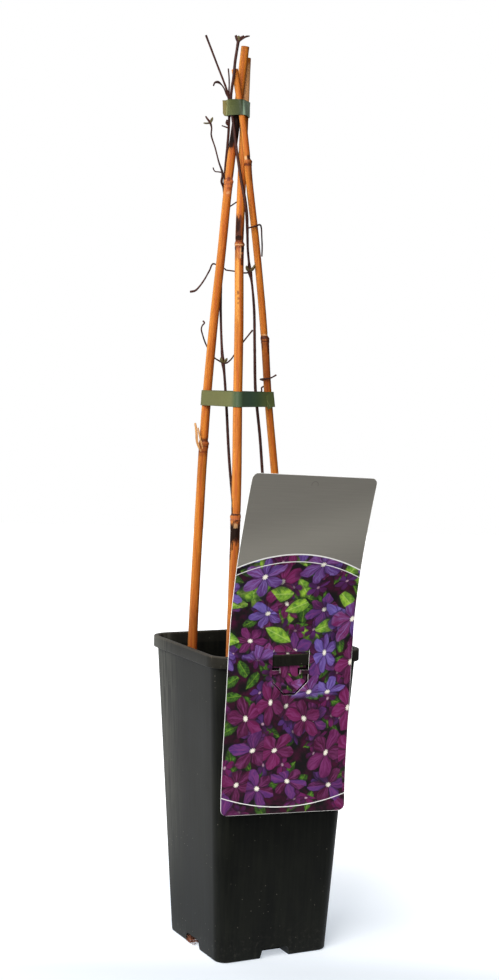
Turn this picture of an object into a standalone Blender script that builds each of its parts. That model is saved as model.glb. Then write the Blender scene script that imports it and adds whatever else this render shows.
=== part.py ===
# Clematis on a three-cane wigwam in a square two-litre pot, with its picture label.
# Metres, +Z up. The origin is the middle of the pot's base, on the surface it stands on.
# The label hangs on the -Y side. Routes and outlines below are written in millimetres.
import math

import bmesh
import bpy
import numpy as np
from mathutils import Vector

MM = 0.001
GAP = 0.3                 # clearance between pieces that touch
CUT = 5.0                 # how far a cutter reaches past the surface that it cuts
SHARP = math.radians(40)  # edges that turn more than this stay sharp

# Pot
POT_HEIGHT = 215.0
POT_RINGS = (70, 140)     # heights of the wall's rings between foot and rim
FOOT_HALF = 43.0          # half width at the base
FOOT_EDGE = 1.6           # rounding between the wall and the base
TOP_HALF = 55.7           # half width of the wall where it meets the rim
POT_WALL = 1.2
FLOOR = 1.5
FLOOR_EDGE = 1.5          # rounding between the wall's inside and the floor
FOOT_CORNER = 9.0         # corner radii
TOP_CORNER = 13.0
CORNER_STEPS = 5
LIP_HALF = 58.1
LIP_HEIGHT = 8.0
LIP_WALL = 1.0
LIP_TOP = 1.2
LIP_EDGE = 0.5
NOTCH_WIDTH = 26.0        # drain notch in the middle of each side
NOTCH_HEIGHT = 6.8
NOTCH_DEPTH = 15.0
NOTCH_SLOPE = 2.6         # how far each side leans in
NOTCH_CORNER = 2.0
HOUSE_SINK = 0.6          # how far the walls round the notch reach into the pot's wall
DRAIN_RADIUS = 3.6
DRAIN_SIDES = 12
SLOT_HALF = 17.5          # label slot through the rim
SLOT_EDGE = 0.1           # strip of the rim left beside the slot

# Soil
SOIL_TOP = 192.0
SOIL_RELIEF = 2.2
SOIL_FOOT = 1.5           # slope round the foot
SOIL_RINGS = 6            # rings of the surface, from the wall inwards
SOIL_MIDDLE = 0.2         # share of the width inside the last ring
HOLE_REACH = 30.0         # how far above the soil a cane's hole is cut
STEM_ROOM = 0.2           # extra room round a stem in its hole

# Canes: 60 cm bamboo, thinner at the top
CANE_FOOT = 20.0
CANE_SIDES = 10
CANE_STEP = 22.0
NODE_RISE = 0.45
NODE_SPREAD = 1.5
NODE_RINGS = (-2.4, -1.2, -0.4, 0.4, 1.2, 2.4)   # rings at a node, in node spreads
NODE_CLEAR = 3.4          # plain rings keep this many spreads away from a node

# Stems
STEM_SIDES = 6
STEM_STEP = 8.5
SHOOT_SIDES = 5
SHOOT_STEP = 3.2
HOLE_SIDES = 8

# Ties: green tape
TAPE_WIDTH = 10.6
TAPE = 0.6
TAPE_LAYER = TAPE + GAP   # from the middle of one layer to the middle of the next
TAPE_HUG = GAP + TAPE / 2 + 0.1
BELT_STEPS = 5            # faces round each thing that the tape wraps
LOWER_TIE = 386.6
LOWER_TAIL = (4.5, 9.0)   # reach of the free end beyond the right cane
LOWER_DIP = 2.0           # how far the free end drops
DIP_STEPS = 3
UPPER_TIE = 587.0
TAB = (2.3, 4.5)          # where the joined ends start and stop, from the left stem
TAB_WAY = (-0.894, 0.449)

# Label card, measured along the card from the rim
CARD_WIDTH = 95.0
CARD_ABOVE = 128.0
CARD_BELOW = 104.8
CARD = 0.6
CARD_CORNER = 4.5
CARD_ROLL = math.radians(2.6)
CARD_X = -2.2
CARD_Z = 211.0
CARD_Y = -58.7            # middle of the card's thickness where it passes the rim
CORNER_ARC = 4            # steps of the card's corners
EDGE_NEAR = 0.01          # how near a point counts as on the tongue's edge

# Each cane: points of its route, the heights of its nodes, its radius at the foot and at the top
CANES = {
    "cane_left": {
        "route": [(-37.0, 27.0, 20), (-37.8, 26.4, 120), (-37.4, 24.2, 220), (-36.1, 21.4, 300),
                  (-34.1, 18.5, 380), (-31.1, 15.1, 442), (-27.9, 12.1, 490), (-25.0, 9.2, 541),
                  (-20.7, 7.0, 587), (-17.3, 4.8, 629.5)],
        "nodes": [354.5, 537],
        "radius": (3.6, 2.85),
    },
    "cane_middle": {
        "route": [(-37.0, -37.0, 20), (-40.2, -42.0, 120), (-39.9, -42.8, 205), (-36.8, -37.6, 260),
                  (-32.3, -29.6, 328), (-28.8, -20.9, 384), (-25.3, -12.6, 443), (-23.2, -6.0, 489),
                  (-20.4, -1.0, 525), (-14.4, 9.2, 587), (-12.5, 11.5, 623)],
        "nodes": [307, 493],
        "radius": (3.75, 2.85),
    },
    "cane_right": {
        "route": [(38.0, 11.0, 20), (37.8, 11.0, 120), (32.4, 10.4, 205), (23.5, 7.5, 270),
                  (14.5, 4.6, 334), (6.7, 2.4, 386), (1.3, 0.2, 429), (-8.0, -2.3, 491),
                  (-15.6, -3.8, 535), (-20.0, -1.0, 575), (-26.1, 2.4, 612.8)],
        "nodes": [305, 429, 550],
        "radius": (3.35, 2.25),
    },
}

# Stems: points of a route with the stem's radius there
STEM_LEFT = [(-5.0, 2.6, 166, 1.3), (-5.4, 3.0, 198, 1.2), (-8.0, 3.9, 225, 1.1), (-12.3, 5.1, 269, 1.0),
             (-15.7, 6.0, 301, 0.95), (-20.1, 7.8, 343, 0.95), (-22.7, 9.2, 381, 0.95),
             (-24.3, 11.2, 406, 0.95), (-24.8, 12.2, 411.5, 1.3), (-25.2, 13.6, 421, 0.9),
             (-25.6, 16.4, 450, 0.85), (-25.3, 17.0, 487, 0.85), (-25.2, 15.8, 521, 0.85),
             (-26.0, 14.0, 544, 0.85), (-25.9, 11.7, 560, 0.85), (-26.2, 9.4, 573, 0.85),
             (-26.6, 8.5, 587, 0.85), (-27.4, 8.2, 594, 0.8), (-29.4, 8.1, 600, 0.7),
             (-36.3, 9.3, 616, 0.65), (-44.5, 11.2, 635.4, 0.7)]
STEM_LEFT_PARTS = {
    "petiole_left": [(-24.8, 12.0, 411.3, 0.8), (-27.0, 14.3, 412.8, 0.6), (-28.4, 18.0, 414.5, 0.5),
                     (-30.6, 21.6, 418.8, 0.5), (-34.2, 21.8, 424.8, 0.5), (-37.6, 19.2, 430, 0.5),
                     (-39.2, 18.5, 434.5, 0.5), (-38.8, 17.8, 437, 0.5), (-37.5, 17.2, 438.8, 0.55),
                     (-37.9, 18.7, 440.2, 0.55)],
    "petiole_right": [(-24.8, 12.0, 411.3, 0.8), (-23.2, 10.3, 411.2, 0.6), (-21.8, 6.6, 413.4, 0.5),
                      (-22.0, 0.2, 417, 0.5), (-23.6, -9.4, 421.5, 0.5), (-22.2, -13.8, 426, 0.5),
                      (-19.6, -16.4, 430.6, 0.5), (-17.0, -17.4, 434.2, 0.6)],
    "clasp": [(-25.2, 15.6, 519.4, 0.7), (-22.8, 12.7, 520, 0.5), (-22.1, 8.6, 521.2, 0.45),
              (-20.2, 4.8, 523.2, 0.45), (-17.2, 1.6, 524.6, 0.5)],
    "bud_left": [(-25.0, 12.0, 411.5, 0.9), (-26.4, 11.4, 413.2, 1.1), (-27.2, 11.0, 415.2, 0.5)],
    "bud_right": [(-24.6, 12.0, 411.5, 0.9), (-23.4, 10.6, 413, 1.0), (-22.6, 10.0, 414.8, 0.5)],
    "side_shoot": [(-25.4, 15.2, 526.5, 0.75), (-26.0, 15.4, 530.5, 0.65), (-27.2, 13.8, 533.5, 0.75),
                   (-29.3, 12.3, 537, 0.9), (-29.1, 11.5, 540.6, 0.9), (-29.4, 11.4, 543.4, 0.85),
                   (-31.7, 12.5, 550.3, 0.6), (-34.5, 12.9, 559.6, 0.55), (-37.6, 13.3, 568.4, 0.6),
                   (-37.7, 12.9, 573.4, 0.6), (-38.8, 13.2, 576.8, 0.85), (-40.9, 13.8, 579.5, 0.7),
                   (-41.8, 14.3, 581, 0.5)],
    "side_twig": [(-29.4, 11.4, 543.2, 0.6), (-31.9, 12.7, 543.5, 0.45), (-33.8, 13.6, 543.7, 0.45),
                  (-34.8, 14.1, 545.1, 0.45), (-35.1, 14.3, 546.4, 0.5)],
    "side_leaf_a": [(-38.7, 13.2, 576.5, 0.8), (-37.7, 12.7, 579, 0.9), (-37.2, 12.4, 580.6, 0.5)],
    "side_leaf_b": [(-38.7, 13.2, 576.5, 0.7), (-41.2, 14.4, 576.2, 0.6), (-43.0, 15.3, 576.4, 0.5)],
    "twig": [(-26.4, 8.8, 573.6, 0.6), (-28.8, 9.2, 574.2, 0.5), (-31.4, 9.9, 575, 0.4)],
    "twig_bud": [(-26.4, 8.8, 575.2, 0.7), (-28.2, 8.9, 577, 0.8), (-27.9, 8.7, 579.2, 0.5)],
    "top_short": [(-27.4, 8.2, 595, 0.7), (-27.5, 7.7, 603, 0.5), (-27.7, 7.8, 608, 0.5),
                  (-28.1, 8.5, 614, 0.5)],
    "top_curl": [(-27.4, 8.2, 594, 0.7), (-29.4, 8.0, 596.5, 0.5), (-31.2, 8.3, 600.4, 0.45),
                 (-33.3, 8.6, 602.8, 0.5), (-35.4, 9.2, 604.2, 0.9), (-37.6, 9.7, 603.6, 0.6),
                 (-38.3, 10.3, 601.4, 0.5)],
}
STEM_RIGHT = [(18.6, -0.8, 166, 1.3), (19.0, -0.8, 197, 1.25), (16.6, 0.2, 218, 1.15),
              (10.5, 1.5, 269, 1.05), (3.3, 1.7, 334, 1.0), (0.3, 1.3, 360, 1.0),
              (-2.5, 1.4, 380, 1.0), (-4.0, 1.9, 394, 1.0), (-5.6, 1.6, 424, 0.95),
              (-7.2, 0.9, 450, 0.9), (-10.1, 0.5, 470, 0.9), (-11.5, 0.5, 475.5, 1.6),
              (-12.6, -0.4, 480.5, 0.9), (-14.6, -1.9, 490, 0.8), (-16.6, -4.2, 504.5, 0.95),
              (-18.2, -5.7, 515, 1.05), (-20.4, -6.1, 526, 1.05), (-22.4, -4.6, 537, 1.0),
              (-23.5, -1.9, 549, 0.95), (-24.5, 0.4, 560, 0.95), (-25.5, 2.2, 571.5, 0.9),
              (-26.0, 4.2, 580, 0.9), (-26.9, 4.9, 587, 0.9), (-28.4, 2.4, 595, 0.9),
              (-28.3, -0.9, 608, 0.95), (-27.5, -0.7, 617, 0.95), (-26.0, -0.5, 627, 0.95),
              (-25.2, -0.3, 632.0, 1.15)]
STEM_RIGHT_PARTS = {
    "petiole_left": [(-11.5, 0.6, 474.9, 0.9), (-14.0, 1.2, 474.1, 0.6), (-18.4, 0.6, 474.3, 0.5),
                     (-22.4, 0.2, 474.7, 0.5), (-24.6, 5.6, 475.4, 0.5), (-24.3, 12.6, 476.2, 0.5),
                     (-23.0, 16.2, 477, 0.5), (-24.2, 19.3, 478.3, 0.5), (-27.6, 20.2, 479.8, 0.5),
                     (-31.6, 18.6, 480.2, 0.55), (-35.3, 15.8, 475.3, 0.55),
                     (-39.0, 16.3, 468.6, 0.55), (-41.7, 17.6, 464.2, 0.6), (-44.2, 19.4, 461.1, 0.7),
                     (-47.2, 21.5, 460.2, 0.8)],
    "bud_left": [(-11.7, 0.5, 475.5, 0.9), (-13.6, 0.2, 477, 1.1), (-14.6, 0.0, 479.2, 0.5)],
    "bud_right": [(-11.3, 0.5, 475.5, 0.9), (-10.7, -3.4, 477.4, 1.0), (-10.0, -4.6, 480.0, 0.5)],
    "clasp_upper": [(-16.6, -4.2, 504.2, 0.8), (-16.2, -5.5, 504.7, 0.55), (-14.1, -6.3, 505.3, 0.5),
                    (-11.6, -6.8, 506.2, 0.5), (-8.0, -6.6, 507.2, 0.6), (-5.9, -4.6, 505.0, 0.5),
                    (-4.8, -3.4, 499.3, 0.5), (-3.9, -2.6, 492.8, 0.5), (-3.8, -2.4, 485.8, 0.5)],
    "clasp_lower": [(-3.4, 1.7, 387.3, 0.7), (-0.8, 2.0, 390.2, 0.5), (1.5, 2.9, 392.4, 0.55),
                    (3.1, 6.1, 394.6, 0.55), (6.2, 6.3, 396.6, 0.55), (5.8, 6.2, 399, 0.55),
                    (1.6, 5.2, 400.3, 0.6), (0.6, 1.8, 400.6, 0.6), (2.0, -1.9, 401.0, 0.6),
                    (5.4, -2.6, 401.6, 0.55), (8.0, -2.0, 402.6, 0.5), (10.2, -1.9, 403.8, 0.6)],
    "top_stub_left": [(-25.3, -0.3, 631.0, 1.0), (-26.4, 0.0, 633.6, 1.1), (-27.2, 0.2, 635.6, 0.8)],
    "top_stub_right": [(-25.1, -0.3, 631.0, 1.0), (-23.8, -0.8, 633.6, 1.1), (-21.6, -1.7, 635.4, 0.8)],
    "top_bud": [(-25.2, -0.3, 631.4, 1.1), (-25.1, -0.3, 634.0, 1.3), (-25.1, -0.3, 635.4, 0.8)],
    "top_spike": [(-24.9, -0.4, 631.6, 0.8), (-23.0, -1.7, 633.0, 0.5), (-21.0, -3.4, 634.6, 0.7),
                  (-19.0, -5.1, 635.0, 0.4)],
}
# Dried leaf sheath at the left cane's lower node
CANE_HUSK = [(-35.4, 19.2, 354.5, 1.3), (-39.4, 18.4, 357.0, 0.9), (-40.6, 17.8, 363, 0.7),
             (-40.2, 17.4, 370, 0.5)]
CANE_HUSK_FORK = [(-40.2, 18.0, 358.5, 0.7), (-41.8, 18.4, 364, 0.5), (-42.6, 18.6, 369, 0.4)]

# The card's profile above and below the rim: distance along the card, how far forward it stands
CARD_PROFILE = [(-104.8, 4.1), (-80, 2.0), (-50, 1.1), (-20, 0.6), (0, 0.0), (12, 0.0), (25, 0.0),
                (40, 1.0), (60, 3.5), (80, 7.1), (100, 11.5), (115, 15.1), (128, 18.5)]
# The tongue cut out of the card, and the card's edge round it: distance from the rim, half width
TONGUE = [(6.4, 13.3), (-6.8, 13.3), (-6.8, 6.8), (-11.0, 6.8), (-11.0, 13.3), (-15.2, 13.6),
          (-24.0, 4.3)]
TONGUE_HOLE = [(6.4, 14.0), (-7.5, 14.0), (-7.5, 7.5), (-10.3, 7.5), (-10.3, 14.0), (-15.3, 14.0),
               (-24.4, 4.5)]
# Where the tongue goes: over the rim, down through its slot and out below it
TONGUE_PATH = [(-58.7, 217.4), (-57.95, 216.75), (-56.75, 216.5), (-56.35, 215.6), (-56.3, 212),
               (-56.35, 206.4), (-57.0, 202), (-58.0, 196.5), (-58.9, 190), (-59.1, 184)]

COLOURS = {
    "pot": (0.028, 0.030, 0.028, 0.5),
    "soil": (0.035, 0.022, 0.014, 0.95),
    "bamboo": (0.62, 0.27, 0.07, 0.42),
    "stem": (0.045, 0.018, 0.012, 0.7),
    "tape": (0.13, 0.17, 0.06, 0.45),
    "card": (0.20, 0.08, 0.16, 0.35),
}


def makeMaterial(name):
    red, green, blue, rough = COLOURS[name]
    mat = bpy.data.materials.new(name)
    mat.use_nodes = True
    shader = mat.node_tree.nodes["Principled BSDF"]
    shader.inputs["Base Color"].default_value = (red, green, blue, 1)
    shader.inputs["Roughness"].default_value = rough
    return mat


def addObject(name, mesh, mat=None, smooth=True):
    obj = bpy.data.objects.new(name, mesh)
    bpy.context.scene.collection.objects.link(obj)
    if mat:
        mesh.materials.clear()
        mesh.materials.append(mat)
    if smooth:
        mesh.shade_smooth()
        mesh.set_sharp_from_angle(angle=SHARP)
    return obj


def meshFrom(bm, name):
    bmesh.ops.recalc_face_normals(bm, faces=bm.faces)
    mesh = bpy.data.meshes.new(name)
    bm.to_mesh(mesh)
    bm.free()
    return mesh


def loft(loops, name):
    """Skin loops of points (millimetres), cap the first and the last."""
    bm = bmesh.new()
    rings = [[bm.verts.new(Vector(p) * MM) for p in loop] for loop in loops]
    count = len(rings[0])
    for low, high in zip(rings, rings[1:]):
        for i in range(count):
            j = (i + 1) % count
            bm.faces.new((low[i], low[j], high[j], high[i]))
    bm.faces.new(list(reversed(rings[0])))
    bm.faces.new(rings[-1])
    return meshFrom(bm, name)


def combine(target, others, operation, solver="EXACT"):
    """Boolean of the target with a group of objects, applied; the group is then removed."""
    group = bpy.data.collections.new(target.name + "_group")
    for obj in others:
        group.objects.link(obj)
    mod = target.modifiers.new("combine", "BOOLEAN")
    mod.operand_type = "COLLECTION"
    mod.collection = group
    mod.operation = operation
    mod.solver = solver
    graph = bpy.context.evaluated_depsgraph_get()
    mesh = bpy.data.meshes.new_from_object(target.evaluated_get(graph))
    target.modifiers.clear()
    target.data = mesh
    for obj in others:
        bpy.data.objects.remove(obj)
    bpy.data.collections.remove(group)


def smoothRoute(points, step):
    """Points about one step apart on a smooth curve through the route's points."""
    pts = [np.array(p, float) for p in points]
    pts = [2 * pts[0] - pts[1]] + pts + [2 * pts[-1] - pts[-2]]
    out = []
    for a, b, c, d in zip(pts, pts[1:], pts[2:], pts[3:]):
        knots = [0.0]
        for p, q in ((a, b), (b, c), (c, d)):
            knots.append(knots[-1] + max(np.linalg.norm((q - p)[:3]), 1e-6) ** 0.5)
        count = max(1, round(np.linalg.norm((c - b)[:3]) / step))
        for k in range(count):
            t = knots[1] + (knots[2] - knots[1]) * k / count
            first = mix(a, b, knots[0], knots[1], t)
            second = mix(b, c, knots[1], knots[2], t)
            third = mix(c, d, knots[2], knots[3], t)
            left = mix(first, second, knots[0], knots[2], t)
            right = mix(second, third, knots[1], knots[3], t)
            out.append(mix(left, right, knots[1], knots[2], t))
    out.append(pts[-2])
    return out


def mix(p, q, start, end, t):
    return p + (q - p) * (t - start) / (end - start)


def tubeMesh(points, radii, sides, name):
    """A closed tube along points, with a radius at each; the ring never twists."""
    loops = []
    side = None
    for i, point in enumerate(points):
        before = points[max(i - 1, 0)]
        after = points[min(i + 1, len(points) - 1)]
        along = (after - before) / np.linalg.norm(after - before)
        if side is None:
            side = np.cross(along, (0, 1, 0.3))
        side = side - along * np.dot(side, along)
        side = side / np.linalg.norm(side)
        across = np.cross(along, side)
        turn = [2 * math.pi * k / sides for k in range(sides)]
        loops.append([point + radii[i] * (side * math.cos(a) + across * math.sin(a)) for a in turn])
    return loft(loops, name)


def stemTube(route, step, sides, name):
    pts = smoothRoute(route, step)
    return addObject(name, tubeMesh([p[:3] for p in pts], [p[3] for p in pts], sides, name), smooth=False)


def roundedSquare(half, corner, z):
    loop = []
    inner = half - corner
    for quarter in range(4):
        start = quarter * math.pi / 2
        cx = inner * (1 if quarter in (0, 3) else -1)
        cy = inner * (1 if quarter in (0, 1) else -1)
        for k in range(CORNER_STEPS + 1):
            angle = start + (math.pi / 2) * k / CORNER_STEPS
            loop.append((cx + corner * math.cos(angle), cy + corner * math.sin(angle), z))
    return loop


def potHalf(z):
    return FOOT_HALF + (TOP_HALF - FOOT_HALF) * z / POT_HEIGHT


def potCorner(z):
    return FOOT_CORNER + (TOP_CORNER - FOOT_CORNER) * z / POT_HEIGHT


def prism(outline, low, high, name):
    """An outline in X and Y, raised from one height to another."""
    loops = [[(x, y, z) for x, y in outline] for z in (low, high)]
    return addObject(name, loft(loops, name), smooth=False)


def cylinder(x, y, radius, low, high, sides, name):
    turn = [2 * math.pi * k / sides for k in range(sides)]
    return prism([(x + radius * math.cos(a), y + radius * math.sin(a)) for a in turn], low, high, name)


def notchOutline(grow, bottom):
    """Half width and height round the drain notch, grown by so much."""
    half = NOTCH_WIDTH / 2 + grow
    top = NOTCH_HEIGHT + grow
    shoulder = half - NOTCH_SLOPE
    right = [(half, bottom), (shoulder, top - NOTCH_CORNER), (shoulder - NOTCH_CORNER, top)]
    return right + [(-x, z) for x, z in reversed(right)]


def notchBlock(grow, bottom, inner, outer, quarter, name):
    """The drain notch as a bar from inner to outer distance, on one of the four sides."""
    turn = quarter * math.pi / 2
    loops = []
    for reach in (inner, outer):
        loops.append([(x * math.cos(turn) + reach * math.sin(turn),
                       x * math.sin(turn) - reach * math.cos(turn), z)
                      for x, z in notchOutline(grow, bottom)])
    return addObject(name, loft(loops, name), smooth=False)


def makePot(mat):
    skirt = LIP_HALF - LIP_WALL
    under = POT_HEIGHT - LIP_TOP
    low = POT_HEIGHT - LIP_HEIGHT
    lipCorner = TOP_CORNER + LIP_HALF - TOP_HALF
    outside = [(FOOT_HALF - FOOT_EDGE, 0), (FOOT_HALF - FOOT_EDGE / 3, FOOT_EDGE / 3)]
    outside += [(potHalf(z), z) for z in (FOOT_EDGE, *POT_RINGS, under)]
    loops = [roundedSquare(half, potCorner(z) - FOOT_EDGE + min(z, FOOT_EDGE), z) for half, z in outside]
    lip = [(skirt, under), (skirt, low), (LIP_HALF - LIP_EDGE, low), (LIP_HALF, low + LIP_EDGE),
           (LIP_HALF, POT_HEIGHT - LIP_EDGE), (LIP_HALF - LIP_EDGE, POT_HEIGHT)]
    loops += [roundedSquare(half, lipCorner - (LIP_HALF - half), z) for half, z in lip]
    inside = [(potHalf(z) - POT_WALL, z) for z in (POT_HEIGHT, *reversed(POT_RINGS), FLOOR + FLOOR_EDGE)]
    inside.append((potHalf(FLOOR) - POT_WALL - FLOOR_EDGE, FLOOR))
    loops += [roundedSquare(half, potCorner(z) - POT_WALL, z) for half, z in inside]
    pot = addObject("pot", loft(loops, "pot"), mat)
    back = FOOT_HALF - NOTCH_DEPTH
    drain = back + NOTCH_DEPTH / 2
    houses = []
    cuts = []
    for q in range(4):
        houses.append(notchBlock(POT_WALL, FLOOR / 2, back - POT_WALL, FOOT_HALF - HOUSE_SINK, q,
                                 f"house{q}"))
        cuts.append(notchBlock(0, -CUT, back, FOOT_HALF + CUT, q, f"notch{q}"))
        x = drain * math.sin(q * math.pi / 2)
        y = -drain * math.cos(q * math.pi / 2)
        cuts.append(cylinder(x, y, DRAIN_RADIUS, NOTCH_HEIGHT - POT_WALL, NOTCH_HEIGHT + 2 * POT_WALL,
                             DRAIN_SIDES, f"drain{q}"))
    slot = [(side * SLOT_HALF, y) for side, y in ((-1, SLOT_EDGE - skirt), (1, SLOT_EDGE - skirt),
                                                  (1, -potHalf(under) - SLOT_EDGE),
                                                  (-1, -potHalf(under) - SLOT_EDGE))]
    cuts.append(prism(slot, under - 2 * LIP_TOP, POT_HEIGHT + CUT, "slot"))
    combine(pot, houses, "UNION")
    combine(pot, cuts, "DIFFERENCE")
    finish(pot, mat)


def finish(obj, mat):
    """Material, shading and clean doubles after a Boolean."""
    bm = bmesh.new()
    bm.from_mesh(obj.data)
    bmesh.ops.remove_doubles(bm, verts=bm.verts, dist=0.002 * MM)
    bmesh.ops.dissolve_degenerate(bm, edges=bm.edges, dist=0.002 * MM)
    bm.to_mesh(obj.data)
    bm.free()
    obj.data.materials.clear()
    obj.data.materials.append(mat)
    obj.data.shade_smooth()
    obj.data.set_sharp_from_angle(angle=SHARP)


def soilHeight(x, y):
    """Gentle lumps, a little hollow at the wall."""
    lumps = math.sin(x * 0.21 + 1.3) * math.cos(y * 0.17 - 0.4) + 0.6 * math.sin(x * 0.43 + y * 0.37)
    return SOIL_TOP + SOIL_RELIEF * 0.5 * lumps


def caneRadius(name, z):
    foot, tip = CANES[name]["radius"]
    share = (z - CANE_FOOT) / (CANES[name]["route"][-1][2] - CANE_FOOT)
    return foot + (tip - foot) * share


def routeAt(route, z):
    """A route's other values at a height: x, y and, on a stem, its radius."""
    pts = np.array(smoothRoute(route, 3.0))
    return [float(np.interp(z, pts[:, 2], pts[:, k])) for k in range(pts.shape[1]) if k != 2]


def makeSoil(mat):
    base = FLOOR + GAP
    edge = SOIL_TOP - SOIL_RELIEF
    loops = []
    for z, inset in ((base, SOIL_FOOT), (base + 2 * SOIL_FOOT, 0), (SOIL_TOP / 2, 0), (edge, 0)):
        half = potHalf(z) - POT_WALL - GAP - inset
        loops.append(roundedSquare(half, potCorner(z) - POT_WALL - GAP, z))
    rim = loops[-1]
    for k in range(SOIL_RINGS):
        share = 1 - (1 - SOIL_MIDDLE) * k / (SOIL_RINGS - 1)
        loops.append([(x * share, y * share, soilHeight(x * share, y * share)) for x, y, _ in rim])
    soil = addObject("soil", loft(loops, "soil"), mat)
    cuts = []
    back = FOOT_HALF - NOTCH_DEPTH - POT_WALL - GAP
    for q in range(4):
        cuts.append(notchBlock(POT_WALL + GAP, FLOOR / 2, back, FOOT_HALF + CUT, q, f"clear{q}"))
    for name in CANES:
        points, radii = caneRings(name, CANE_FOOT, SOIL_TOP + HOLE_REACH, GAP)
        points[0] = points[0] - np.array((0, 0, GAP))
        cuts.append(addObject("hole_" + name, tubeMesh(points, radii, CANE_SIDES, "hole"), smooth=False))
    for name, route in (("left", STEM_LEFT), ("right", STEM_RIGHT)):
        hole = [(x, y, z, r + GAP + STEM_ROOM) for x, y, z, r in route[:3]]
        x, y, z, r = hole[0]
        hole[0] = (x, y, z - GAP, r)
        cuts.append(stemTube(hole, STEM_STEP, HOLE_SIDES, "hole_stem_" + name))
    combine(soil, cuts, "DIFFERENCE")
    finish(soil, mat)


def caneRings(name, low, high, grow=0.0):
    """Middles and radii of a cane's rings between two heights; rings crowd together at its nodes."""
    nodes = CANES[name]["nodes"]
    fine = np.array(smoothRoute(CANES[name]["route"], 1.0))
    heights = {low, high}
    for node in nodes:
        heights.update(node + k * NODE_SPREAD for k in NODE_RINGS)
    level = CANE_FOOT
    while level < high:
        if all(abs(level - node) > NODE_CLEAR * NODE_SPREAD for node in nodes):
            heights.add(level)
        level += CANE_STEP
    points = []
    radii = []
    for z in sorted(z for z in heights if low <= z <= high):
        x = np.interp(z, fine[:, 2], fine[:, 0])
        y = np.interp(z, fine[:, 2], fine[:, 1])
        bulge = sum(NODE_RISE * math.exp(-((z - node) / NODE_SPREAD) ** 2) for node in nodes)
        points.append(np.array((x, y, z)))
        radii.append(caneRadius(name, z) + bulge + grow)
    return points, radii


def makeCane(name, mat):
    top = CANES[name]["route"][-1][2]
    cane = addObject(name, tubeMesh(*caneRings(name, CANE_FOOT, top), CANE_SIDES, name), mat)
    if name == "cane_left":
        husk = [stemTube(route, SHOOT_STEP, STEM_SIDES, "husk") for route in (CANE_HUSK, CANE_HUSK_FORK)]
        combine(cane, husk, "UNION")
        finish(cane, mat)


def makeStem(name, main, parts, mat):
    stem = stemTube(main, STEM_STEP, STEM_SIDES, name)
    shoots = [stemTube(route, SHOOT_STEP, SHOOT_SIDES, name + "_" + key) for key, route in parts.items()]
    combine(stem, shoots, "UNION")
    finish(stem, mat)


def leaving(start, end):
    """Outward direction of a belt that runs clockwise, on the tangent from one circle to the next."""
    dx = end[0] - start[0]
    dy = end[1] - start[1]
    lean = math.asin((start[2] - end[2]) / math.hypot(dx, dy))
    return math.atan2(dy, dx) + math.pi / 2 - lean


def beltPath(circles):
    """Middle line of a tape that runs clockwise round circles; a circle without radius is a plain point."""
    angles = [leaving(a, b) for a, b in zip(circles, circles[1:])]
    path = []
    for i, (x, y, radius) in enumerate(circles):
        if radius == 0:
            path.append((x, y))
            continue
        arrive = angles[i - 1]
        leave = angles[i]
        while leave > arrive:
            leave -= 2 * math.pi
        for k in range(BELT_STEPS + 1):
            angle = arrive + (leave - arrive) * k / BELT_STEPS
            path.append((x + radius * math.cos(angle), y + radius * math.sin(angle)))
    return path


def tapeMesh(rows, dip, name):
    """Strip of tape through rows of points at rising heights; its free end dips."""
    count = len(rows[0][1])
    loops = []
    for i in range(count):
        back = []
        front = []
        drop = dip * max(0.0, 1 - (count - 1 - i) / DIP_STEPS)
        for z, path in rows:
            ahead = path[min(i + 1, count - 1)]
            behind = path[max(i - 1, 0)]
            length = math.hypot(ahead[0] - behind[0], ahead[1] - behind[1])
            outX = (behind[1] - ahead[1]) / length * TAPE / 2
            outY = (ahead[0] - behind[0]) / length * TAPE / 2
            back.append((path[i][0] - outX, path[i][1] - outY, z - drop))
            front.append((path[i][0] + outX, path[i][1] + outY, z - drop))
        loops.append(back + front[::-1])
    return loft(loops, name)


def caneCircle(name, z, extra=0.0):
    """Where the middle of a tape lies round a cane, as a circle."""
    x, y = routeAt(CANES[name]["route"], z)
    return x, y, caneRadius(name, z) + TAPE_HUG + extra


def stemCircle(route, z):
    x, y, radius = routeAt(route, z)
    return x, y, radius + TAPE_HUG


def onward(circle, following, reach):
    """A point on the tangent from a circle towards the following one, reach beyond where it starts."""
    x, y, radius = circle
    angle = leaving(circle, following)
    return (x + radius * math.cos(angle) + reach * math.sin(angle),
            y + radius * math.sin(angle) - reach * math.cos(angle), 0)


def tapeHeights(middle):
    return (middle - TAPE_WIDTH / 2, middle, middle + TAPE_WIDTH / 2)


def makeLowerTie(mat):
    """Once round the three canes; the free end lies over the start, in front of the right cane."""
    rows = []
    for z in tapeHeights(LOWER_TIE):
        right = caneCircle("cane_right", z)
        middle = caneCircle("cane_middle", z)
        left = caneCircle("cane_left", z)
        over = caneCircle("cane_middle", z, TAPE_LAYER)
        way = leaving(right, middle)
        lift = (right[0] + math.cos(way) * TAPE_LAYER / 2, right[1] + math.sin(way) * TAPE_LAYER / 2,
                right[2] + TAPE_LAYER / 2)
        start = onward(right, middle, 0.0)
        tail = [onward(lift, over, reach) for reach in LOWER_TAIL]
        rows.append((z, beltPath([start, middle, left, lift, *tail])))
    addObject("tie_lower", tapeMesh(rows, LOWER_DIP, "tie_lower"), mat)


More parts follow.
